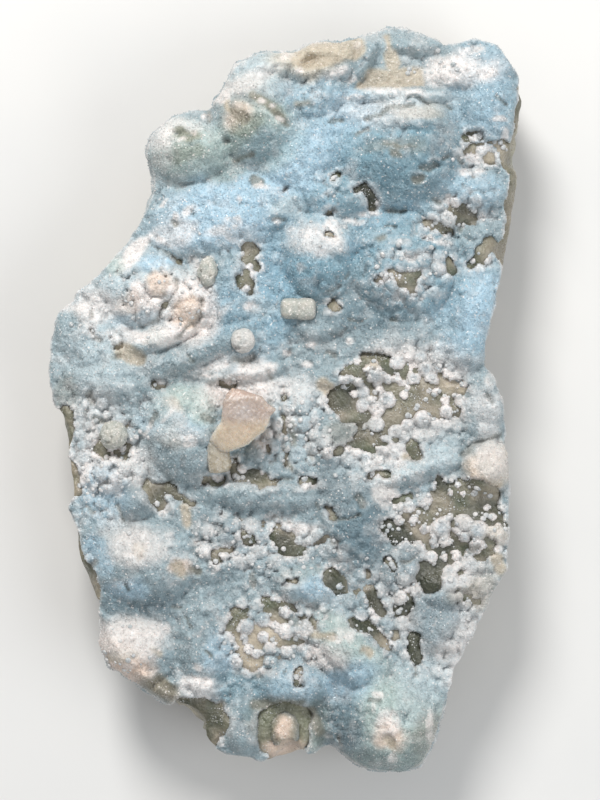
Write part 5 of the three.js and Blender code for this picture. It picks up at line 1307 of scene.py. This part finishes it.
# soft patches of the stone's face: x, y, half-widths, turn, strength and colour
STONE_PATCHES = [
    # pale shelves in the upper part
    (3.2, 33.9, 3.4, 2.4, 0, 1.0, BEIGE), (10.0, 33.6, 4.0, 3.6, 0, 1.0, BEIGE),
    (-9.8, 26.0, 3.0, 2.0, 0, 0.6, BEIGE), (20.0, 24.8, 2.2, 1.2, 0, 0.6, BEIGE),
    (-3.6, 12.6, 1.6, 3.0, 0, 0.5, SAND), (-15.8, 4.4, 2.0, 1.4, 0, 0.9, BEIGE),
    # dark and mossy ones beside the big swellings
    (7.9, 20.2, 1.6, 2.4, 25, 1.0, MOSS), (17.6, 18.2, 3.0, 2.0, 0, 0.7, DARK_OLIVE),
    (19.6, 15.4, 1.4, 1.5, 0, 0.9, OLIVE), (21.0, 14.0, 1.2, 1.8, 0, 0.9, SAND),
    # right of the middle
    (5.0, 0.2, 1.6, 1.6, 25, 0.8, MOSS), (9.0, -2.8, 3.0, 1.6, 0, 0.5, MOSS),
    (12.4, -0.6, 5.6, 3.0, 0, 0.55, SAND), (16.8, 1.1, 1.6, 1.2, 0, 0.8, BEIGE),
    (5.4, -3.6, 2.2, 1.6, 0, 0.5, DARK_OLIVE),
    # under the calcite and at the left
    (-3.6, -6.4, 1.6, 1.8, 0, 1.0, MOSS), (-0.6, -6.6, 2.0, 1.4, 0, 0.7, OLIVE),
    (-11.6, -9.4, 2.6, 1.4, 0, 0.6, MOSS), (-9.8, -11.8, 1.6, 1.4, 0, 1.0, SAND),
    (-0.6, -14.8, 2.0, 1.6, 0, 0.9, MOSS),
    # lower right, where the moss shows most
    (10.4, -13.2, 2.0, 2.0, 0, 1.0, MOSS), (11.4, -14.4, 1.6, 1.6, 0, 1.0, MOSS),
    (15.6, -8.6, 1.4, 1.6, 0, 1.0, MOSS), (19.8, -9.0, 2.0, 1.2, 0, 0.6, SAND),
    (15.2, -10.8, 1.3, 1.3, 0, 0.7, SAND), (19.8, -11.4, 2.6, 1.6, 0, 0.9, DARK_OLIVE),
    (13.8, -17.6, 2.2, 2.6, 0, 1.0, MOSS), (15.8, -15.4, 1.4, 1.6, 0, 1.0, MOSS),
    (17.8, -17.6, 2.0, 1.2, 0, 0.8, DARK_OLIVE), (8.6, -20.2, 1.6, 1.6, 0, 0.9, MOSS),
    (11.6, -21.0, 2.0, 1.4, 0, 1.0, MOSS), (7.8, -22.6, 2.0, 1.2, 0, 1.0, MOSS),
    (12.8, -25.0, 1.4, 2.2, 0, 1.0, MOSS), (4.7, -18.6, 1.4, 1.8, 0, 1.0, MOSS),
    (15.0, -21.4, 2.4, 2.4, 0, 0.6, DARK_OLIVE),
    # lower middle and the foot
    (-3.0, -25.2, 3.2, 3.2, 0, 1.0, BEIGE), (-9.4, -31.8, 3.0, 2.0, 0, 0.8, DARK_OLIVE),
    (-0.6, -33.0, 3.6, 3.4, 0, 0.8, GREEN_OLIVE), (0.0, -35.4, 2.4, 1.5, 0, 1.0, PEACH),
]


# %% Paint the stone
def over_stone(width, seed):
    """Noise over the stone's points, seen from above."""
    return rough2(*stone_at[:, :2].T, width, seed)


mottle = np.clip(0.5 + 1.3 * over_stone(1.7, 121), 0, 1)
face_tint = mix(MOSSY_GREY, WARM_GREY, mottle[:, None])
for patch in STONE_PATCHES:
    share = patch[5] * ramp(1.3 - reach_of(patch, *bent(*stone_at[:, :2].T, 0.8, 2.2, 61)), 0, 0.7)
    face_tint = veiled(face_tint, patch[6], share * (0.75 + 0.25 * mottle))
# painted shade: the stone's face is darkened to olive in the narrow gaps between the crust, less in wide
# windows
face_tint = mix(OLIVE, face_tint, (0.6 + 0.4 * open_here)[:, None])
patchy = np.clip(0.5 + 0.9 * rough(*stone_at.T, 3.0, 125), 0, 1)
side_tint = veiled(mix(FLANK, FLANK_GREY, patchy[:, None]), BACK, ramp(stone_depth, 0.8, 1))
paint(stone, "tint", veiled(face_tint, side_tint, ramp(stone_depth, 0.0, 0.12)))
bare_here = ramp(-at_stone(thickness), 0.1, 0.3) * (stone_depth == 0)
clustered = ramp(over_stone(1.5, 127), -0.1, 0.45) * outside_clearings(*stone_at[:, :2].T)
paint(stone, "grains", bare_here * clustered * ramp(at_stone(rim_distance), 0.5, 1.0))
paint(stone, "growth", bare_here * ramp(over_stone(1.1, 129), 0.0, 0.4))

# %% [markdown]
# ## Beads and blades by Geometry Nodes
# Two things repeat thousands of times: the smallest pale beads on the bare stone, and the tiny pointed
# blades that make the crust look sugared. A node tree sows one shape over a surface, which stays editable
# by its inputs.


# %% Add a node and set or link its inputs
def wire(tree, node, inputs):
    """Each input takes a value, or a link where it is given a socket."""
    for key, value in inputs.items():
        if isinstance(value, bpy.types.NodeSocket):
            tree.links.new(value, node.inputs[key])
        else:
            node.inputs[key].default_value = value


def add_node(tree, kind, inputs, **settings):
    """A new node with its settings and inputs. Gives its outputs."""
    node = tree.nodes.new(kind)
    for setting, value in settings.items():
        setattr(node, setting, value)
    wire(tree, node, inputs)
    return node.outputs


# %% A node tree that sows a shape over a surface
SOW_INPUTS = [
    ("Per square metre", "NodeSocketFloat"), ("Apart", "NodeSocketFloat"), ("Smallest", "NodeSocketFloat"),
    ("Largest", "NodeSocketFloat"), ("Tilt", "NodeSocketFloat"), ("Proportions", "NodeSocketVector"),
    ("Seed", "NodeSocketInt"), ("Finish", "NodeSocketMaterial"),
]
WAVES_PER_SHAPE = 1.4


def sowing_tree(name, allowed_by, shape, shape_inputs, crumple):
    """Poisson points where the surface's attribute allows, a shape on each, turned and sized at random."""
    tree = bpy.data.node_groups.new(name, "GeometryNodeTree")
    for label, kind in [("Geometry", "NodeSocketGeometry"), *SOW_INPUTS]:
        tree.interface.new_socket(label, in_out="INPUT", socket_type=kind)
    tree.interface.new_socket("Geometry", in_out="OUTPUT", socket_type="NodeSocketGeometry")

    def add(kind, inputs, **settings):
        return add_node(tree, kind, inputs, **settings)

    start = add("NodeGroupInput", {})
    growth = add("GeometryNodeInputNamedAttribute", {"Name": allowed_by})
    where = {
        "Mesh": start["Geometry"], "Distance Min": start["Apart"], "Density Max": start["Per square metre"],
        "Density Factor": growth["Attribute"], "Seed": start["Seed"],
    }
    points = add("GeometryNodeDistributePointsOnFaces", where, distribute_method="POISSON")
    seedling = add(shape, shape_inputs)
    wavy = add("ShaderNodeTexNoise", {"Scale": WAVES_PER_SHAPE})
    waves = {0: wavy["Color"], 1: (crumple,) * 3, 2: (-crumple / 2,) * 3}
    centred = add("ShaderNodeVectorMath", waves, operation="MULTIPLY_ADD")
    crumpled = add("GeometryNodeSetPosition", {"Geometry": seedling["Mesh"], "Offset": centred["Vector"]})
    shaped = add("GeometryNodeTransform", {"Geometry": crumpled["Geometry"], "Scale": start["Proportions"]})
    size = add("FunctionNodeRandomValue", {2: start["Smallest"], 3: start["Largest"], "Seed": start["Seed"]})
    any_way = {0: (-1, -1, -math.pi), 1: (1, 1, math.pi), "Seed": start["Seed"]}
    turn = add("FunctionNodeRandomValue", any_way, data_type="FLOAT_VECTOR")
    leaning = add("ShaderNodeCombineXYZ", {"X": start["Tilt"], "Y": start["Tilt"], "Z": 1})
    lean = add("ShaderNodeVectorMath", {0: turn[0], 1: leaning["Vector"]}, operation="MULTIPLY")
    euler = add("FunctionNodeEulerToRotation", {"Euler": lean["Vector"]})
    both = {"Rotation": points["Rotation"], "Rotate By": euler["Rotation"]}
    rotate = add("FunctionNodeRotateRotation", both, rotation_space="LOCAL")
    grown_shapes = {
        "Points": points["Points"], "Instance": shaped["Geometry"], "Rotation": rotate["Rotation"],
        "Scale": size[1],
    }
    grown = add("GeometryNodeInstanceOnPoints", grown_shapes)
    real = add("GeometryNodeRealizeInstances", {"Geometry": grown["Instances"]})
    finish = add("GeometryNodeSetMaterial", {"Geometry": real["Geometry"], "Material": start["Finish"]})
    add("NodeGroupOutput", {"Geometry": finish["Geometry"]})
    return tree


# %% Run a tree on a surface and keep the result as a plain mesh
def plain_piece(name, carrier, modifier):
    """A piece with the carrier's evaluated shape. The modifier and the carrier are removed."""
    graph = bpy.context.evaluated_depsgraph_get()
    shape = carrier.evaluated_get(graph)
    mesh = bpy.data.meshes.new_from_object(shape, preserve_all_data_layers=True, depsgraph=graph)
    carrier.modifiers.remove(modifier)
    bpy.data.objects.remove(carrier)
    mesh.name = name
    print(f"{name}: {sum(len(p.vertices) - 2 for p in mesh.polygons)} triangles")
    return placed(name, mesh)


def sow(name, surface, tree, per_square_mm, apart, smallest, largest, *others):
    """A piece grown by a tree on a surface, with values in millimetres in the order of the tree's inputs."""
    carrier = placed(name + "_carrier", surface.data)
    modifier = carrier.modifiers.new(name, "NODES")
    modifier.node_group = tree
    values = [per_square_mm / MM**2, apart * MM, smallest * MM, largest * MM, *others]
    labels = [label for label, _ in SOW_INPUTS]
    for item in tree.interface.items_tree:
        if item.in_out == "INPUT" and item.name in labels:
            modifier[item.identifier] = values[labels.index(item.name)]
    return plain_piece(name, carrier, modifier)


# %% [markdown]
# ## Finishes
# Each finish is one Principled shader with procedural noise on Object coordinates, which stay with the
# piece. A real druse glitters because each tiny face points its own way. Cells of a Voronoi texture, each
# with its own random colour, stand for those faces: the colour tilts the normal, and also sets how sharp
# the cell's reflection is. A few cells are also painted white: partly white grains, partly painted glints.


# %% Helpers for node materials
def new_finish(name):
    """A new material, its tree, its Object coordinates and its shader."""
    material = bpy.data.materials.new(name)
    material.use_nodes = True
    tree = material.node_tree
    return material, tree, add_node(tree, "ShaderNodeTexCoord", {})["Object"], tree.nodes["Principled BSDF"]


def per_mm(width):
    """Texture scale for features of the given width in millimetres."""
    return 1 / (width * MM)


def mapped(tree, value, from_low, from_high, low, high):
    """The value, stretched from one range to another."""
    limits = {"From Min": from_low, "From Max": from_high, "To Min": low, "To Max": high}
    return add_node(tree, "ShaderNodeMapRange", {"Value": value, **limits})["Result"]


def noise_value(tree, place, width, low, high, detail=3.0):
    """Noise over features of the given width, stretched to the range low to high."""
    waves = {"Vector": place, "Scale": per_mm(width), "Detail": detail}
    return mapped(tree, add_node(tree, "ShaderNodeTexNoise", waves)["Fac"], 0.3, 0.7, low, high)


def cells(tree, place, width):
    """A random colour for each cell of the given width, and its three channels."""
    colour = add_node(tree, "ShaderNodeTexVoronoi", {"Vector": place, "Scale": per_mm(width)})["Color"]
    return colour, add_node(tree, "ShaderNodeSeparateColor", {"Color": colour})


def blend_colours(tree, share, a, b):
    """Colour a turning to b as share goes from 0 to 1. Each may be a socket or a palette colour."""
    a, b = (c if isinstance(c, bpy.types.NodeSocket) else (*c, 1) for c in (a, b))
    return add_node(tree, "ShaderNodeMix", {"Factor": share, 6: a, 7: b}, data_type="RGBA")[2]


def shaded_tint(tree, shade):
    """The piece's painted colour, made lighter or darker by a shade."""
    tint = add_node(tree, "ShaderNodeAttribute", {}, attribute_name="tint")["Color"]
    return add_node(tree, "ShaderNodeVectorMath", {0: tint, "Scale": shade}, operation="SCALE")["Vector"]


# %% Facets and glow
def faceted_normal(tree, random_colour, tilt, height, bump_distance):
    """The surface's normal, tilted by each cell's random colour and roughened by a height."""

    def vector(operation, *inputs):
        return add_node(tree, "ShaderNodeVectorMath", dict(enumerate(inputs)), operation=operation)["Vector"]

    out = add_node(tree, "ShaderNodeNewGeometry", {})["Normal"]
    centred = vector("SUBTRACT", random_colour, (0.5, 0.5, 0.5))
    unit = vector("NORMALIZE", vector("MULTIPLY_ADD", centred, (tilt, tilt, tilt), out))
    bump = {"Distance": bump_distance * MM, "Normal": unit, "Height": height}
    return add_node(tree, "ShaderNodeBump", bump)["Normal"]


def glowing(weight, radius, depth):
    """Light enters the surface and comes out near by: its share, its reach by colour and its depth in mm."""
    return {"Subsurface Weight": weight, "Subsurface Radius": radius, "Subsurface Scale": depth * MM}


# %% Hemimorphite: the sugared crust
# the second number is the share of the crust's facet cells painted white: partly white grains, partly painted
# glints
FACET, GRAIN_AND_GLINT_SHARE = 0.14, 0.04


def crust_finish():
    material, tree, place, shader = new_finish("hemimorphite crust")
    colour, (red, green, _) = cells(tree, place, FACET)
    base = shaded_tint(tree, noise_value(tree, place, 0.7, 0.84, 1.1))
    wire(tree, shader, {
        "Base Color": blend_colours(tree, mapped(tree, red, 1 - GRAIN_AND_GLINT_SHARE, 1.0, 0.0, 0.75), base, WHITE),
        "Roughness": mapped(tree, green, 0.7, 1.0, 0.6, 0.08),
        "Normal": faceted_normal(tree, colour, 0.6, noise_value(tree, place, 0.3, 0.0, 1.0), 0.08),
        "IOR": 1.61,
        **glowing(0.55, (0.8, 0.95, 1.0), 0.8),
    })
    return material


hemimorphite = crust_finish()
print("finish:", hemimorphite.name)


# %% Smithsonite: the translucent stone
def stone_finish():
    material, tree, place, shader = new_finish("smithsonite")
    colour, _ = cells(tree, place, 0.5)
    base = shaded_tint(tree, noise_value(tree, place, 1.3, 0.8, 1.14, 5.0))
    wire(tree, shader, {
        "Base Color": blend_colours(tree, noise_value(tree, place, 1.8, 0.0, 0.07), base, BEIGE),
        "Roughness": noise_value(tree, place, 0.8, 0.2, 0.5),
        "Normal": faceted_normal(tree, colour, 0.14, noise_value(tree, place, 0.5, 0.0, 1.0, 5.0), 0.12),
        "IOR": 1.62,
        **glowing(0.5, (1.0, 0.95, 0.75), 1.4),
    })
    return material


smithsonite = stone_finish()
print("finish:", smithsonite.name)


# %% The pale beads and nodules
def pale_finish(name, light, dark, patch, depth):
    material, tree, place, shader = new_finish(name)
    colour, (red, green, _) = cells(tree, place, FACET)
    base = blend_colours(tree, noise_value(tree, place, patch, 0.0, 1.0), light, dark)
    wire(tree, shader, {
        "Base Color": blend_colours(tree, mapped(tree, red, 0.8, 1.0, 0.0, 0.7), base, WHITE),
        "Roughness": mapped(tree, green, 0.0, 1.0, 0.2, 0.6),
        "Normal": faceted_normal(tree, colour, 0.35, noise_value(tree, place, 0.25, 0.0, 1.0), 0.06),
        **glowing(0.5, (1.0, 0.95, 0.9), depth),
    })
    return material


bead_finish = pale_finish("pale beads", pigment(206, 204, 202), pigment(164, 170, 172), 1.3, 0.3)
nodule_finish = pale_finish("pale nodules", pigment(206, 201, 196), pigment(172, 175, 173), 0.9, 0.8)
greenish_finish = pale_finish("greenish nodules", pigment(180, 177, 168), pigment(156, 161, 155), 0.9, 1.0)
print("finishes:", bead_finish.name, "and", nodule_finish.name)


# %% Calcite: a frosted, half-clear crystal
def calcite_finish():
    material, tree, place, shader = new_finish("frosted calcite")
    colour, _ = cells(tree, place, 0.35)
    wire(tree, shader, {
        "Base Color": shaded_tint(tree, noise_value(tree, place, 0.7, 0.9, 1.08, 4.0)),
        "Roughness": noise_value(tree, place, 0.7, 0.1, 0.4),
        "Normal": faceted_normal(tree, colour, 0.08, noise_value(tree, place, 0.4, 0.0, 1.0, 5.0), 0.06),
        "Transmission Weight": 0.35,
        "IOR": 1.6,
        **glowing(0.8, (1.0, 0.9, 0.75), 2.0),
    })
    absorbed = add_node(tree, "ShaderNodeVolumeAbsorption", {"Color": (0.85, 0.72, 0.6, 1), "Density": 15})
    wire(tree, tree.nodes["Material Output"], {"Volume": absorbed["Volume"]})
    return material


calcite = calcite_finish()
print("finish:", calcite.name)

# %% [markdown]
# ## Sow the beads and the blades
# The beads stand on bare stone only. The blades are stretched eight-sided crystals, leaning every way, half
# sunk in the crust. Each is two or three times as long as it is wide, and about as wide as a grain of
# sugar's face.

# %% Sow them
crust.data.materials.append(hemimorphite)
stone.data.materials.append(smithsonite)
ROUND_BALL, POINTED_BLADE = {"Radius": 1.0, "Subdivisions": 2}, {"Radius": 1.0, "Segments": 4, "Rings": 2}
ball_shape = sowing_tree("sow balls", "grains", "GeometryNodeMeshIcoSphere", ROUND_BALL, 0.5)
blade_shape = sowing_tree("sow blades", "growth", "GeometryNodeMeshUVSphere", POINTED_BLADE, 0.2)
SOWN = [
    # name, surface, tree, number to a square mm, gap, smallest, largest, tilt, proportions, seed and finish
    ("beads_on_stone", stone, ball_shape, 4.5, 0.24, 0.05, 0.34, 0.5, (1, 1, 0.7), 3, bead_finish),
    ("frost_on_stone", stone, blade_shape, 24, 0.14, 0.04, 0.1, 0.9, (0.6, 0.9, 1.4), 6, bead_finish),
    ("beads_on_crust", crust, ball_shape, 1.2, 0.45, 0.12, 0.3, 0.5, (1, 1, 0.7), 4, bead_finish),
    ("hemimorphite_blades", crust, blade_shape, 16, 0.23, 0.05, 0.11, 0.6, (0.6, 0.9, 1.7), 5, hemimorphite),
]
beads, frost, crust_beads, blades = (sow(*row) for row in SOWN)

# %% [markdown]
# ## Crystals and nodules
# The large calcite crystal, its small neighbour and the knob are blocks raised from outlines on the sheet,
# with low cleavage steps or fine grains on their tops. The three nodules start from copies of their solids,
# so they keep their size and place. A fine remesh and a little noise along the normals gives them grainy
# faces.


# %% A fine copy of a solid
def fine_copy(name, node, voxel):
    """The solid's surface, rebuilt with small even faces."""
    form = bmesh.new()
    form.from_mesh(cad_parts[node].data)
    bmesh.ops.remove_doubles(form, verts=form.verts, dist=0.002 * MM)
    carrier = placed(name + "_start", bpy.data.meshes.new(name))
    form.to_mesh(carrier.data)
    form.free()
    modifier = carrier.modifiers.new("even faces", "REMESH")
    modifier.mode = "VOXEL"
    modifier.voxel_size = voxel * MM
    return plain_piece(name, carrier, modifier)


def move_points(piece, shift):
    """Moves each vertex along its normal by shift(x, y, z), all in millimetres."""
    mesh = piece.data
    at, out = np.empty((len(mesh.vertices), 3)), np.empty((len(mesh.vertices), 3))
    mesh.vertices.foreach_get("co", at.ravel())
    mesh.vertex_normals.foreach_get("vector", out.ravel())
    at = at / MM + out * shift(*(at / MM).T)[:, None]
    mesh.vertices.foreach_set("co", (at * MM).astype(np.float32).ravel())
    mesh.update()
    mesh.shade_smooth()


# %% A block from its outline
BLOCK_FINE, BLOCK_LEVELS = 0.1, 8


def block(name, reach_x, reach_y, field, top, foot, drawn_in):
    """A closed block where field(x, y) is above 0, from its top(x, y, field) down to a drawn-in foot."""
    x, y = np.meshgrid(np.arange(*reach_x, BLOCK_FINE), np.arange(*reach_y, BLOCK_FINE))
    cut = cut_out(x, y, field(x, y))
    at_x, at_y = cut[0].T
    middle = np.array([at_x.mean(), at_y.mean()])
    below = np.column_stack([mix(cut[0], middle, drawn_in), np.full(len(at_x), foot)])
    high = top(at_x, at_y, np.maximum(0, field(at_x, at_y)))
    everywhere = np.ones(len(at_x), bool)
    vertices, faces, _, _ = shell(cut, high, below, everywhere, mix, BLOCK_LEVELS, coarse_back=True)
    return make_piece(name, vertices, faces)


def inside_outline(outline):
    """A field for a block: distance to a closed outline, positive inside it."""
    points = on_sheet(outline)

    def field(x, y):
        within = np.zeros(x.shape, bool)
        for (ax, ay), (bx, by) in zip(points, np.roll(points, -1, 0)):
            within ^= ((ay > y) != (by > y)) & (x < ax + (bx - ax) * (y - ay) / (by - ay + 1e-9))
        nearest = off_path(x, y, points, closed=True)
        return np.where(within, nearest, -nearest)

    return field


# %% The calcite and its small neighbour
def cleaved(x, y, slope_x, slope_y):
    """Low steps across a cleavage face, running along its slope."""
    along = 0.8 * x * slope_y - 0.8 * y * slope_x + 0.35 * rough2(x, y, 2.2, 131)
    return 0.07 * (np.round(2.2 * along) - 2.2 * along) + 0.03 * rough2(x, y, 0.6, 135, 2)


LARGE_HIGH, LARGE_FOOT = 16.05, 12.4
SMALL_HIGH, SMALL_FOOT = 14.7, 12.2


def large_top(x, y, deep):
    level = LARGE_HIGH + 0.03 * (x + 4)
    lower = LARGE_HIGH + 0.3 * (y + 2.2) + 0.1 * (x + 4)
    upper = LARGE_HIGH - 0.45 * (y - 0.1) + 0.1 * (x + 4)
    face = np.minimum(np.minimum(level, lower), upper)
    return face + cleaved(x, y, 0.6, 0.8) - 0.28 * np.exp(-deep / 0.16)


def small_top(x, y, deep):
    face = np.minimum(SMALL_HIGH + 0.1 * (y + 6), SMALL_HIGH - 0.2 - 0.3 * (x + 6.6))
    return face + cleaved(x, y, -0.8, 0.5) - 0.35 * np.exp(-deep / 0.18)


# %% The two crystals
LARGE_OUTLINE = (
    228, 393, 233, 388, 244, 390, 249, 392, 262, 396, 269, 404, 277, 409, 271, 416, 269, 424, 266, 430,
    257, 437, 249, 444, 237, 449, 228, 452, 221, 451, 216, 446, 210, 441, 211, 437, 217, 428, 222, 421,
    223, 412, 224, 401,
)
SMALL_OUTLINE = (
    208, 440, 208, 460, 210, 472, 217, 473, 224, 472, 229, 471, 232, 465, 231, 458, 229, 448, 218, 440,
)
large_field, small_field = inside_outline(LARGE_OUTLINE), inside_outline(SMALL_OUTLINE)
large = block("calcite_large", (-8.6, -0.6), (-6.0, 1.6), large_field, large_top, LARGE_FOOT, 0.12)
small = block("calcite_small", (-8.6, -5.0), (-8.0, -3.4), small_field, small_top, SMALL_FOOT, 0.0)

# %% The crystals' colours
ROSE, MILKY, PINK = pigment(198, 182, 172), pigment(210, 202, 198), pigment(208, 180, 166)
LIT_EDGE = pigment(246, 236, 220)


def crystal_tint(piece, field, low):
    """Rose above and another colour below, with a milky spot, a pink upper end and a lit lower edge."""
    x, y, z = np.array([v.co[:] for v in piece.data.vertices]).T / MM
    tint = mix(ROSE, low, ramp(-1.6 - y, 0, 1.4)[:, None])
    tint = veiled(tint, MILKY, 0.6 * ramp(1.4 - np.hypot(x + 4.4, y + 1.2), 0, 1.2))
    tint = veiled(tint, PINK, 0.6 * ramp(y - 0.1, 0, 0.5))
    lit = ramp(0.22 - np.abs(field(x, y)), 0, 0.15) * ramp(-y - 1, 0, 2) * ramp(z - 14.2, 0, 0.3)
    paint(piece, "tint", veiled(tint, LIT_EDGE, 0.9 * lit))


crystal_tint(large, large_field, pigment(228, 210, 188))
crystal_tint(small, small_field, pigment(192, 182, 164))
for piece in (large, small):
    piece.data.materials.append(calcite)

# %% The knob: two blocks grown together
KNOB_BLOCKS = [(0.3, 9.0, 1.05, 1.05), (1.7, 8.95, 1.1, 1.12)]
SQUARENESS = 3.4
KNOB_SHOULDER, KNOB_RISE, KNOB_FOOT = 13.3, 1.0, 11.8


def squarish(x, y, block_at):
    """Distance from a block's middle, 1 at its outline, which is a square with round corners."""
    middle_x, middle_y, half_x, half_y = block_at
    powers = np.abs((x - middle_x) / half_x) ** SQUARENESS + np.abs((y - middle_y) / half_y) ** SQUARENESS
    return powers ** (1 / SQUARENESS)


def knob_field(x, y):
    return np.maximum(*(min(b[2:]) * (1 - squarish(x, y, b)) for b in KNOB_BLOCKS))


def knob_top(x, y, deep):
    rise = np.maximum(*(np.clip(1 - squarish(x, y, b) ** SQUARENESS, 0, 1) ** 0.42 for b in KNOB_BLOCKS))
    return KNOB_SHOULDER + KNOB_RISE * rise + 0.08 * rough2(x, y, 0.7, 145, 2)


nub = block("calcite_knob", (-1.2, 3.4), (7.0, 10.8), knob_field, knob_top, KNOB_FOOT, 0.05)
nub.data.materials.append(greenish_finish)


# %% The nodules
def pitted(x, y, z):
    """Small grains and a few pits."""
    pits = ramp(noise(x, y, z, 0.55, 141), 0.66, 0.9)
    return 0.1 * rough(x, y, z, 0.6, 145, 2) - 0.22 * pits


nodules = {}
for node in ("pale_nodule_long", "pale_nodule_round", "pale_nodule_left"):
    nodules[node] = fine_copy(node + "_grainy", node, 0.1)
    move_points(nodules[node], pitted)
    nodules[node].data.materials.append(nodule_finish if node == "pale_nodule_round" else greenish_finish)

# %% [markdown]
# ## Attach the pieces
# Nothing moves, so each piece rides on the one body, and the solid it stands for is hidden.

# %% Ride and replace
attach(crust, "root")
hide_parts("hemimorphite_crust")
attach(stone, "root")
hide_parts("smithsonite_stone")
for piece in (large, small):
    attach(piece, "root")
    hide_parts("calcite_crystals")
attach(nub, "root")
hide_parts("calcite_nub")
for node, piece in nodules.items():
    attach(piece, "root")
    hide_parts(node)
for piece in (beads, frost, crust_beads, blades):
    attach(piece, "root")

# %% [markdown]
# ## Floor, light and camera
# A pale floor and a large soft light from behind the specimen's top, as on a collector's table. The camera
# looks straight down on the front, from far enough that nothing is stretched.

# %% The floor
FLOOR_HALF = 0.9
CLEAR_OF_SPECIMEN = 0.02
signs = ((-1, -1), (1, -1), (1, 1), (-1, 1))
corners = [(x * FLOOR_HALF, y * FLOOR_HALF, -CLEAR_OF_SPECIMEN * MM) for x, y in signs]
floor = placed("floor", bpy.data.meshes.new("floor"))
floor.data.from_pydata(corners, [], [(0, 1, 2, 3)])
paper, paper_tree, paper_place, paper_shader = new_finish("pale paper")
blotches = noise_value(paper_tree, paper_place, 30, 0.0, 1.0)
paper_tone = blend_colours(paper_tree, blotches, pigment(214, 213, 211), pigment(208, 208, 207))
wire(paper_tree, paper_shader, {"Base Color": paper_tone, "Roughness": 0.9})
floor.data.materials.append(paper)
floor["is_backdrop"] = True


# %% Lights
def area_light(name, place, size, watts, colour):
    """A round soft light at a place in metres, aimed at the specimen."""
    light = bpy.data.lights.new(name, "AREA")
    light.shape, light.size, light.energy, light.color = "DISK", size, watts, colour
    holder = placed(name, light)
    holder.location = place
    holder.rotation_euler = (-Vector(place)).to_track_quat("-Z", "Y").to_euler()


area_light("key", (-0.08, 0.27, 0.27), 0.14, 1.6, (1.0, 0.985, 0.96))
area_light("fill", (0.26, -0.12, 0.26), 0.30, 0.7, (0.95, 0.98, 1.0))
world = bpy.data.worlds.new("soft room")
world.use_nodes = True
daylight = world.node_tree.nodes["Background"]
wire(world.node_tree, daylight, {"Color": (0.97, 0.98, 1.0, 1), "Strength": 0.45})
bpy.context.scene.world = world
bpy.context.scene.view_settings.view_transform = "Standard"

# %% Camera
FRAME_HIGH = 80 * MM
CAMERA_AT = (1.2 * MM, -0.1 * MM, 300 * MM)
FRONT_PLANE = 12 * MM
SENSOR = 36
camera = placed("camera", bpy.data.cameras.new("camera"))
camera.location = CAMERA_AT
camera.data.sensor_width = SENSOR
camera.data.lens = SENSOR * (CAMERA_AT[2] - FRONT_PLANE) / FRAME_HIGH
camera.data.clip_start, camera.data.clip_end = 0.01, 10
bpy.context.scene.camera = camera
print("lens in mm:", round(camera.data.lens, 1))

# %% Print the two boxes
seen_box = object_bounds()
for label, box in (("solids", cad_box), ("visible", seen_box)):
    print(label, [[round(value / MM, 2) for value in corner] for corner in box])
